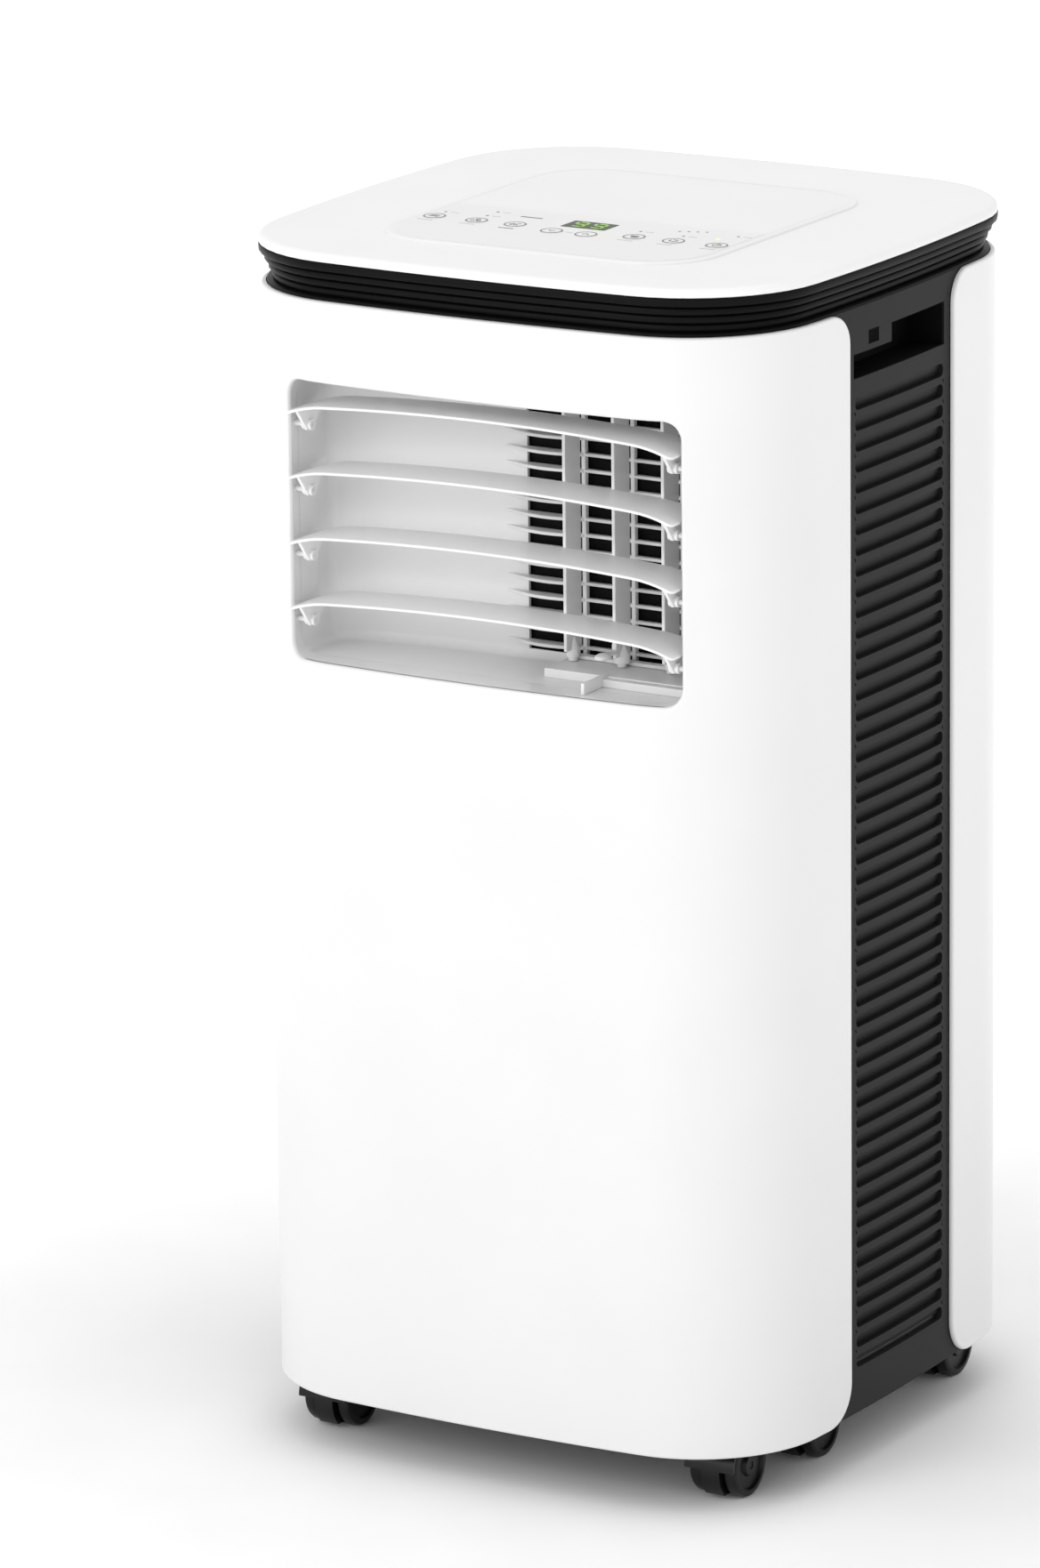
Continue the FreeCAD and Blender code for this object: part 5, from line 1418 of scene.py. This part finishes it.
@dataclass
class Louvres:
    """Swinging slats across the air outlet.

    Attributes:
        half: Half width of a slat.
        skin: Thickness of a blade.
        corner: Radius of a blade's corners.
        back: Reach of a blade behind its hinge line.
        ear_place: Distance of each gusset from the middle.
        ear_skin: Thickness of a gusset.
        ear_front: Reach of a gusset in front of the hinge line.
        ear_back: Reach of a gusset behind the hinge line.
        pin_end: Distance of each pin's end from the middle.
        boss_end: Distance of each boss's end from the middle.
        crank: Distance of the link bar's peg behind the hinge line.
        crank_drop: Distance of the link bar's peg below the hinge line.
    """

    half: float = 116.6 * MM
    skin: float = 1.5 * MM
    corner: float = 3.0 * MM
    back: float = 19.0 * MM
    ear_place: float = 110.0 * MM
    ear_skin: float = 1.8 * MM
    ear_front: float = 12.5 * MM
    ear_back: float = 15.0 * MM
    pin_end: float = 119.6 * MM
    boss_end: float = 113.0 * MM
    crank: float = 23.0 * MM
    crank_drop: float = 6.0 * MM

    def blade(self, axis: Vector, front: float, back: float) -> bmesh.types.BMesh:
        """Curved blade in its open place.

        Args:
            axis: Middle of the hinge line.
            front: Reach in front of the axis.
            back: Reach behind the axis.

        Returns:
            The mesh.
        """
        reach = COVERS.length_at(self.half)
        low, high = axis.z - front, axis.z + back
        mesh = flat_sheet((-reach, reach), (low, high))
        thicken(mesh, self.skin)
        round_depth_edges(mesh, [(x, z) for x in (-reach, reach) for z in (low, high)], self.corner, 5)
        soften(mesh, 0.45 * MM, 3)
        slice_at(mesh, 0, [reach * step / 24 for step in range(-23, 24)])
        slice_at(mesh, 2, [low + (high - low) * step / 5 for step in range(1, 5)])
        for vert in mesh.verts:
            share = (vert.co.z - low) / (high - low)
            vert.co.y += 1.6 * MM * (share - 0.35) ** 2
        OUTLINE.wrap(mesh, 0.0)
        return mesh

    def ear(self, mesh: bmesh.types.BMesh, axis: Vector, side: int) -> None:
        """Gusset under one end of a slat, with its pin and clip.

        Args:
            mesh: Slat in its open place.
            axis: Middle of the hinge line.
            side: 1 for the right end, -1 for the left.
        """
        surface = -OUTLINE.at(COVERS.length_at(self.ear_place))[0].y
        under = axis.z + surface + axis.y - self.skin * 0.6
        x = sorted(side * self.ear_place + step for step in (-self.ear_skin / 2, self.ear_skin / 2))
        low = (x[0], axis.y - self.ear_front, axis.z - 2.6 * MM)
        verts = box_mesh(mesh, low, (x[1], axis.y + self.ear_back, under))
        foot = [vert for vert in verts if vert.co.z < axis.z]
        bmesh.ops.scale(mesh, verts=foot, vec=(1.0, 0.2, 1.0), space=Matrix.Translation((0.0, -axis.y, 0.0)))
        inner = Vector((side * (self.ear_place - 2.6 * MM), axis.y, axis.z))
        for place, radius, segments in ((self.pin_end, 1.5 * MM, 20), (self.boss_end, 2.9 * MM, 24)):
            rod_mesh(mesh, inner, Vector((side * place, axis.y, axis.z)), radius, segments)
        if side > 0:
            across = side * (self.ear_place + self.ear_skin / 2)
            start = Vector((across, axis.y + self.crank, axis.z - self.crank_drop))
            rod_mesh(mesh, start - Vector((self.ear_skin, 0.0, 0.0)), start + Vector((4.6 * MM, 0.0, 0.0)),
                     1.2 * MM, 16)
            arm = box_mesh(mesh, (x[0], axis.y - 1.6 * MM, axis.z - 1.6 * MM),
                           (x[1], start.y + 2.0 * MM, axis.z + 1.6 * MM))
            for vert in arm:
                if vert.co.y > axis.y:
                    vert.co.z -= self.crank_drop

    def slat(self, number: int) -> bpy.types.Object:
        """Build one slat.

        Args:
            number: Number of the slat from the top, from 1.

        Returns:
            The piece.
        """
        name = f"louvre_{number}"
        axis = hinge(f"{name}_tilt")
        mesh = self.blade(axis, axis.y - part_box(name)[0].y, self.back)
        bmesh.ops.rotate(mesh, verts=mesh.verts, cent=axis, matrix=Matrix.Rotation(-math.pi / 2.0, 3, "X"))
        self.ear(mesh, axis, 1)
        self.ear(mesh, axis, -1)
        bmesh.ops.recalc_face_normals(mesh, faces=mesh.faces)
        piece = finish_piece(mesh, f"{name}_blade", name, SLAT_GREY, 40.0)
        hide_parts(name)
        return piece

    def build(self) -> list[bpy.types.Object]:
        """Build the four slats."""
        return [self.slat(number) for number in range(1, 5)]


@dataclass
class Duct:
    """Smooth duct behind the outlet with its safety grille and guide vanes.

    Attributes:
        half: Half width of the duct.
        front: Front edge of the side walls.
        bend: Where the left wall starts to sweep round.
        back: Plane of the back wall and the grille.
        floor: Level of the floor.
        ceiling: Level of the ceiling.
        wall: Thickness of the wall.
        fillet: Radius between the walls and the floor.
        window: Lower and upper edges of the rear window.
        rib: Height of a grille rib.
        rib_pitch: Distance from one rib to the next.
        rail_top: Level of the step under the vanes.
        rail_left: Left end of the step.
        rail_span: Front and back edges of the step.
        divider: Left and right faces of the low divider in front of the step.
        divider_front: Front end of the divider.
        divider_height: Height of the divider.
        foot_gap: Distance of the vanes' feet above the step.
        vane_reach: Reach of a vane to either side of its pivot line.
        vanes: Names of the vanes, from left to right.
    """

    half: float = 118.5 * MM
    front: float = -144.7 * MM
    bend: float = -118.0 * MM
    back: float = -98.0 * MM
    floor: float = 438.3 * MM
    ceiling: float = 588.8 * MM
    wall: float = 2.2 * MM
    fillet: float = 5.0 * MM
    window: Span = (443.0 * MM, 585.0 * MM)
    rib: float = 1.7 * MM
    rib_pitch: float = 8.66 * MM
    rail_top: float = 443.3 * MM
    rail_left: float = 22.0 * MM
    rail_span: Span = (-132.0 * MM, -101.0 * MM)
    divider: Span = (58.0 * MM, 60.2 * MM)
    divider_front: float = -156.0 * MM
    divider_height: float = 6.4 * MM
    foot_gap: float = 2.6 * MM
    vane_reach: float = 8.0 * MM
    vanes: tuple[str, ...] = ("vane_left", "vane_middle", "vane_right")

    @property
    def window_left(self) -> float:
        """Left edge of the rear window."""
        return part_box("outlet_grille")[0].x + 2.0 * MM

    @property
    def window_right(self) -> float:
        """Right edge of the rear window."""
        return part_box("outlet_grille")[1].x + 0.3 * MM

    def plan(self) -> list[Vector]:
        """Points of the wall in plan, from the left rim round the back to the right rim.

        Returns:
            The points, at level zero.
        """
        left, end = -self.half, Vector((self.window_left, self.back, 0.0))
        start = Vector((left, self.bend, 0.0))
        lead = Vector((left, self.back - 3.0 * MM, 0.0))
        tail = Vector((left + 60.0 * MM, self.back - 1.0 * MM, 0.0))
        curve = interpolate_bezier(start, lead, tail, end, 26)
        rest = [Vector((self.window_right, self.back, 0.0)), Vector((self.half, self.back, 0.0)),
                Vector((self.half, self.front, 0.0))]
        return [Vector((left, self.front, 0.0)), *[point.to_3d() for point in curve], *rest]

    def liner(self) -> bpy.types.Object:
        """Swept wall, floor and ceiling in one smooth shell.

        Returns:
            The piece.
        """
        points = self.plan()
        mesh = flat_sheet((0.0, 1.0), (self.floor, self.ceiling))
        slice_at(mesh, 0, [step / (len(points) - 1) for step in range(1, len(points) - 1)])
        for vert in mesh.verts:
            point = points[round(vert.co.x * (len(points) - 1))]
            vert.co = Vector((point.x, point.y, vert.co.z))
        for level in (self.floor, self.ceiling):
            ring = [edge for edge in mesh.edges
                    if all(abs(vert.co.z - level) < 1e-6 for vert in edge.verts)]
            bmesh.ops.contextual_create(mesh, geom=ring)
        bmesh.ops.recalc_face_normals(mesh, faces=mesh.faces)
        seams = [edge for edge in mesh.edges if len(edge.link_faces) == 2
                 and any(abs(face.normal.z) > 0.9 for face in edge.link_faces)
                 and any(abs(face.normal.z) < 0.1 for face in edge.link_faces)]
        bevel(mesh, seams, self.fillet, 5)
        slice_at(mesh, 2, self.window)
        hole = [face for face in mesh.faces
                if self.window[0] < face.calc_center_median().z < self.window[1]
                and self.window_left < face.calc_center_median().x < self.window_right
                and abs(face.calc_center_median().y - self.back) < 1e-4]
        bmesh.ops.delete(mesh, geom=hole, context="FACES")
        mesh.normal_update()
        floor = max(mesh.faces, key=lambda face: face.calc_area() * (face.calc_center_median().z < 0.44))
        if floor.normal.z < 0.0:
            bmesh.ops.reverse_faces(mesh, faces=mesh.faces)
        piece = finish_piece(mesh, "duct_liner", "cabinet", DUCT_GREY, 50.0, False)
        give_wall(piece, self.wall)
        weigh_shading(piece)
        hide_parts("outlet_duct")
        return piece

    def rail(self) -> bpy.types.Object:
        """Step under the vanes and the low divider in front of it.

        Returns:
            The piece.
        """
        mesh = bmesh.new()
        low, back = self.floor, self.rail_span[0] + 1.0 * MM
        box_mesh(mesh, (self.rail_left, self.rail_span[0], low),
                 (self.half, self.rail_span[1], self.rail_top))
        box_mesh(mesh, (self.divider[0], self.divider_front, low),
                 (self.divider[1], back, low + self.divider_height))
        box_mesh(mesh, (self.divider[1] - 0.2 * MM, self.rail_span[0] - 5.0 * MM, low),
                 (self.half, back, self.rail_top - 0.6 * MM))
        soften(mesh, 0.6 * MM, 2)
        return finish_piece(mesh, "duct_vane_rail", "cabinet", DUCT_GREY)

    def fin(self, mesh: bmesh.types.BMesh, level: float, end: float) -> None:
        """Curved rib in the first bay, running out on the swept wall.

        Args:
            mesh: Grille to add to.
            level: Lower face of the rib.
            end: Where the rib meets the first post.
        """
        start = self.window_left - 13.0 * MM
        middle, bulge = (start + end) / 2.0 + 3.0 * MM, 6.4 * MM
        half = (end - start) / 2.0 + 1.0 * MM
        made = bmesh.ops.create_grid(mesh, x_segments=14, y_segments=1, size=0.5)["verts"]
        for vert in made:
            x = start + (vert.co.x + 0.5) * (end - start)
            swell = 1.0 - ((x - middle) / half) ** 2
            y = self.back + 1.4 * MM if vert.co.y > 0.0 else self.back - 0.4 * MM - bulge * max(0.0, swell)
            vert.co = Vector((x, y, level))
        faces = list({face for vert in made for face in vert.link_faces})
        extruded = bmesh.ops.extrude_face_region(mesh, geom=faces)["geom"]
        top = [item for item in extruded if isinstance(item, bmesh.types.BMVert)]
        bmesh.ops.translate(mesh, verts=top, vec=(0.0, 0.0, self.rib))

    def grille(self) -> bpy.types.Object:
        """Safety grille of posts and ribs across the window.

        Returns:
            The piece.
        """
        mesh = bmesh.new()
        posts = [hinge(f"{name}_swing").x for name in self.vanes]
        front, rear = self.back - 1.6 * MM, self.back + 1.8 * MM
        for x in posts:
            box_mesh(mesh, (x - 1.2 * MM, front, self.window[0] - 1.0 * MM),
                     (x + 1.2 * MM, rear, self.window[1] + 1.0 * MM))
        level = self.window[0] + 3.4 * MM
        while level < self.window[1] - 4.0 * MM:
            self.fin(mesh, level, posts[0])
            box_mesh(mesh, (posts[0], front + 0.4 * MM, level),
                     (self.window_right + 0.5 * MM, rear, level + self.rib))
            level += self.rib_pitch
        bmesh.ops.recalc_face_normals(mesh, faces=mesh.faces)
        soften(mesh, 0.3 * MM, 1)
        piece = finish_piece(mesh, "duct_grille", "cabinet", DUCT_GREY, 40.0)
        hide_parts("outlet_grille")
        return piece

    def shade_screen(self) -> bpy.types.Object:
        """Black sheet behind the grille, painted shade that stands for the dark fan housing seen through it.

        Returns:
            The piece.
        """
        mesh = bmesh.new()
        low = (self.window_left - 4.0 * MM, self.back + 3.4 * MM, self.floor)
        box_mesh(mesh, low, (self.window_right + 2.0 * MM, self.back + 4.2 * MM, self.ceiling))
        soften(mesh, 0.2 * MM, 1)
        # Painted shade: this black sheet fills the grille's windows with the darkness of the fan housing
        # behind.
        return finish_piece(mesh, "duct_painted_shade_screen", "cabinet", INNER_BLACK_AND_SHADE)

    def vane(self, name: str) -> bpy.types.Object:
        """Build one guide vane with its foot and, on the middle one, the lever.

        Args:
            name: Name of the vane.

        Returns:
            The piece.
        """
        low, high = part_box(name)
        axis = hinge(f"{name}_swing")
        mesh = bmesh.new()
        foot = self.rail_top + self.foot_gap
        box_mesh(mesh, (axis.x - 1.0 * MM, axis.y - self.vane_reach, foot + 3.8 * MM),
                 (axis.x + 1.0 * MM, axis.y + self.vane_reach, high.z - 2.4 * MM))
        soften(mesh, 0.5 * MM, 2)
        base = Vector((axis.x, axis.y, foot))
        radius = 4.4 * MM if name == "vane_middle" else 3.4 * MM
        shoulder = base + up(4.2 * MM)
        rod_mesh(mesh, base, shoulder, radius, 28)
        rod_mesh(mesh, shoulder, base + up(10.8 * MM), radius, 28, 1.2 * MM)
        for reach, size in ((0.0, 2.4 * MM), (6.0 * MM, 0.9 * MM)):
            peg = base + Vector((0.0, reach, 0.0))
            rod_mesh(mesh, peg - up(2.2 * MM), peg + up(4.0 * MM), size, 16)
        top = Vector((axis.x, axis.y, high.z))
        rod_mesh(mesh, Vector((axis.x, axis.y, high.z - 2.6 * MM)), top, 1.5 * MM, 16)
        if name == "vane_middle":
            lever = Vector((axis.x, low.y + 3.6 * MM, foot + 7.3 * MM))
            rod_mesh(mesh, Vector((axis.x, axis.y, lever.z)), lever, 1.5 * MM, 16)
            pad = Matrix.Translation(lever) @ Matrix.Diagonal((1.0, 1.5, 0.5, 1.0))
            bmesh.ops.create_uvsphere(mesh, u_segments=20, v_segments=12, radius=4.0 * MM, matrix=pad)
            tab = Vector((axis.x, axis.y - 4.0 * MM, foot + 9.8 * MM))
            half = Vector((1.3 * MM, 0.0, 0.0))
            rod_mesh(mesh, tab - half, tab + half, 4.2 * MM, 28)
        bmesh.ops.recalc_face_normals(mesh, faces=mesh.faces)
        piece = finish_piece(mesh, f"{name}_blade", name, SLAT_GREY, 40.0)
        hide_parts(name)
        return piece

    def build(self) -> list[bpy.types.Object]:
        """Build the duct, its grille and the vanes."""
        pieces = [self.liner(), self.rail(), self.grille(), self.shade_screen()]
        return pieces + [self.vane(name) for name in self.vanes]


# ---------------------------------------------------------------- casters

@dataclass
class Casters:
    """Twin wheels of the swivel casters.

    Attributes:
        places: Names of the casters' places.
        width: Width of one wheel.
        bore: Radius of the axle.
    """

    places: tuple[str, ...] = ("front_left", "front_right", "middle_left", "middle_right", "rear_left",
                               "rear_right")
    width: float = 8.0 * MM
    bore: float = 2.2 * MM

    def wheel(self, mesh: bmesh.types.BMesh, centre: Vector, radius: float, side: int) -> None:
        """Spin one wheel round its axle.

        Args:
            mesh: Mesh to add to.
            centre: Middle of the wheel.
            radius: Radius of the tread.
            side: 1 if the dished face looks to the right, -1 if to the left.
        """
        half = self.width / 2.0
        outer, inner = half * side, -half * side
        profile = [
            (inner, self.bore), (inner, radius - 3.0 * MM), (inner * 0.8, radius - 0.6 * MM),
            (inner * 0.5, radius), (outer * 0.5, radius), (outer * 0.85, radius - 0.8 * MM),
            (outer, radius - 2.4 * MM), (outer, radius - 4.0 * MM), (outer * 0.55, radius - 4.8 * MM),
            (outer * 0.5, 6.4 * MM), (outer * 0.95, 5.4 * MM), (outer * 0.95, self.bore)]
        verts = [mesh.verts.new(centre + Vector((a, 0.0, r))) for a, r in profile]
        edges = [mesh.edges.new(pair) for pair in zip(verts, verts[1:])]
        edges.append(mesh.edges.new((verts[-1], verts[0])))
        bmesh.ops.spin(mesh, geom=verts + edges, cent=centre, axis=(1.0, 0.0, 0.0), angle=2.0 * math.pi,
                       steps=48, use_merge=True)

    def build(self) -> list[bpy.types.Object]:
        """Build the wheels of every caster.

        Returns:
            The pieces.
        """
        pieces = []
        for place in self.places:
            node = f"caster_wheels_{place}"
            low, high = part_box(node)
            centre = (low + high) / 2.0
            radius = (high.z - low.z) / 2.0
            mesh = bmesh.new()
            for side in (1, -1):
                offset = (high.x - low.x) / 2.0 - self.width / 2.0
                self.wheel(mesh, centre + Vector((side * offset, 0.0, 0.0)), radius, side)
            rod_mesh(mesh, Vector((low.x + 0.6 * MM, centre.y, centre.z)),
                     Vector((high.x - 0.6 * MM, centre.y, centre.z)), self.bore, 20)
            bmesh.ops.recalc_face_normals(mesh, faces=mesh.faces)
            piece = finish_piece(mesh, f"wheels_{place}_pair", f"wheels_{place}", TYRE_BLACK,
                                 35.0)
            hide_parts(node)
            pieces.append(piece)
        return pieces


# ---------------------------------------------------------------- carried-over parts

@dataclass
class CarriedNodes:
    """Finishes of the parts that are shown as designed."""

    looks: dict[str, Finish] = field(default_factory=lambda: {
        "base_tray": CASTER_BLACK,
        "caster_yoke": CASTER_BLACK,
        "control_board": BOARD_GREEN,
        "louvre_link": DUCT_GREY,
        "vane_link": DUCT_GREY,
        "upper_impeller": INNER_BLACK_AND_SHADE,
        "lower_impeller": INNER_BLACK_AND_SHADE,
        "upper_motor": METAL_GREY,
        "lower_motor": METAL_GREY,
        "upper_scroll": INNER_BLACK_AND_SHADE,
        "lower_scroll": INNER_BLACK_AND_SHADE,
        "divider_deck": INNER_BLACK_AND_SHADE,
        "evaporator": FIN_SILVER,
        "condenser": FIN_SILVER,
        "compressor": CASTER_BLACK,
        "refrigerant": COPPER,
        "exhaust_port": WHITE_SHELL,
        "intake_grille": WHITE_SHELL,
        "filter": INNER_BLACK_AND_SHADE,
        "drain_plug": TYRE_BLACK,
        "cord_gland": TYRE_BLACK,
        "cover_screws": METAL_GREY,
    })

    def dress(self) -> int:
        """Give each shown part its finish.

        Returns:
            How many parts were dressed.
        """
        count = 0
        for name, piece in frame["nodes"].items():
            found = [key for key in self.looks if name.startswith(key)]
            if not found:
                continue
            look = self.looks[max(found, key=len)]
            piece.data.materials.clear()
            piece.data.materials.append(look.material())
            count += 1
        return count


# ---------------------------------------------------------------- studio

@dataclass
class Studio:
    """Pale floor, soft lights and the camera.

    Attributes:
        stand: Where the camera stands.
        azimuth: Its angle round the cabinet from the front, in degrees.
        elevation: How far it looks down, in degrees.
        roll: How far it is tilted sideways, in degrees.
        lens: Its focal length in millimetres.
        sky: Strength of the light from all round.
        glow: Strength of the floor's own painted light far from the cabinet, which whitens out the cabinet's
            cast shadow there.
        fade: Distances between which that light fades in.
        aim_height: Height at which the lamps aim.
    """

    stand: Vector = field(default_factory=lambda: Vector((2.2801, -3.9534, 1.5686)))
    azimuth: float = 30.749
    elevation: float = 14.983
    roll: float = -0.668
    lens: float = 201.6
    sky: float = 0.9
    glow: float = 0.3
    fade: Span = (0.3, 1.1)
    aim_height: float = 0.33

    def floor(self) -> bpy.types.Object:
        """Large pale floor with painted light, glowing more with distance from the cabinet.

        Returns:
            The piece.
        """
        mesh = bmesh.new()
        bmesh.ops.create_grid(mesh, x_segments=1, y_segments=1, size=12.0)
        piece = add_object("studio_floor", store(mesh, "studio_floor"))
        ground = Plastic("studio_floor", (0.93, 0.93, 0.93), 0.7, Grain.POLISHED, 0.0, 0.2).material()
        tree, links = ground.node_tree, ground.node_tree.links
        place, reach = add_node(tree, "TexCoord"), add_node(tree, "VectorMath")
        reach.operation = "LENGTH"
        # Painted light: the floor's glow fades in between these distances from the cabinet, whitening its
        # cast shadow beyond the foot.
        fade = add_node(tree, "MapRange", From_Min=self.fade[0], From_Max=self.fade[1], To_Max=self.glow)
        shader = tree.nodes["Principled BSDF"]
        set_sockets(shader, Emission_Color=opaque((1.0, 1.0, 1.0)))
        links.new(place.outputs["Object"], reach.inputs[0])
        links.new(reach.outputs["Value"], fade.inputs["Value"])
        links.new(fade.outputs["Result"], shader.inputs["Emission Strength"])
        piece.data.materials.append(ground)
        return piece

    def lamp(self, name: str, place: Sequence[float], size: float, power: float) -> None:
        """Square area light that looks at the cabinet.

        Args:
            name: Name of the lamp.
            place: Where it hangs.
            size: Length of its side.
            power: Its power in watts.
        """
        data = bpy.data.lights.new(name, "AREA")
        data.shape = "SQUARE"
        data.size = size
        data.energy = power
        lamp = add_object(name, data)
        lamp.location = place
        aim = up(self.aim_height) - lamp.location
        lamp.rotation_mode = "QUATERNION"
        lamp.rotation_quaternion = aim.to_track_quat("-Z", "Y")

    def camera(self) -> None:
        """Camera at the working view."""
        data = bpy.data.cameras.new("camera")
        data.lens = self.lens
        data.sensor_width = 36.0
        data.clip_start = 0.1
        data.clip_end = 50.0
        view = add_object("camera", data)
        around, above = math.radians(self.azimuth), math.radians(self.elevation)
        level = math.cos(above)
        back = Vector((math.sin(around) * level, -math.cos(around) * level, math.sin(above)))
        view.location = self.stand
        view.rotation_mode = "QUATERNION"
        upright = (-back).to_track_quat("-Z", "Y")
        view.rotation_quaternion = upright @ Quaternion((0.0, 0.0, 1.0), math.radians(self.roll))
        bpy.context.scene.camera = view

    def build(self) -> None:
        """Set up the floor, the lights and the camera."""
        self.floor()
        world = bpy.data.worlds.new("studio_world")
        world.use_nodes = True
        set_sockets(world.node_tree.nodes["Background"], Color=opaque((1.0, 1.0, 1.0)), Strength=self.sky)
        bpy.context.scene.world = world
        bpy.context.scene.view_settings.view_transform = "Standard"
        self.lamp("key_light", (-1.0, -4.5, 2.1), 3.4, 60.0)
        self.lamp("top_light", (0.3, 0.3, 3.6), 2.6, 10.0)
        self.camera()


def main() -> None:
    """Build the object's pieces in order and report each one."""
    Studio().build()
    for maker in (COVERS, SidePanels(), Crown(), ControlPanel(), Louvres(), Duct(), Casters()):
        for piece in maker.build():
            LOG.info("%s: %d faces", piece.name, len(piece.data.polygons))
    LOG.info("dressed %d carried parts", CarriedNodes().dress())


if __name__ == "__main__":
    logging.basicConfig(level=logging.INFO, format="%(name)s: %(message)s")
    main()
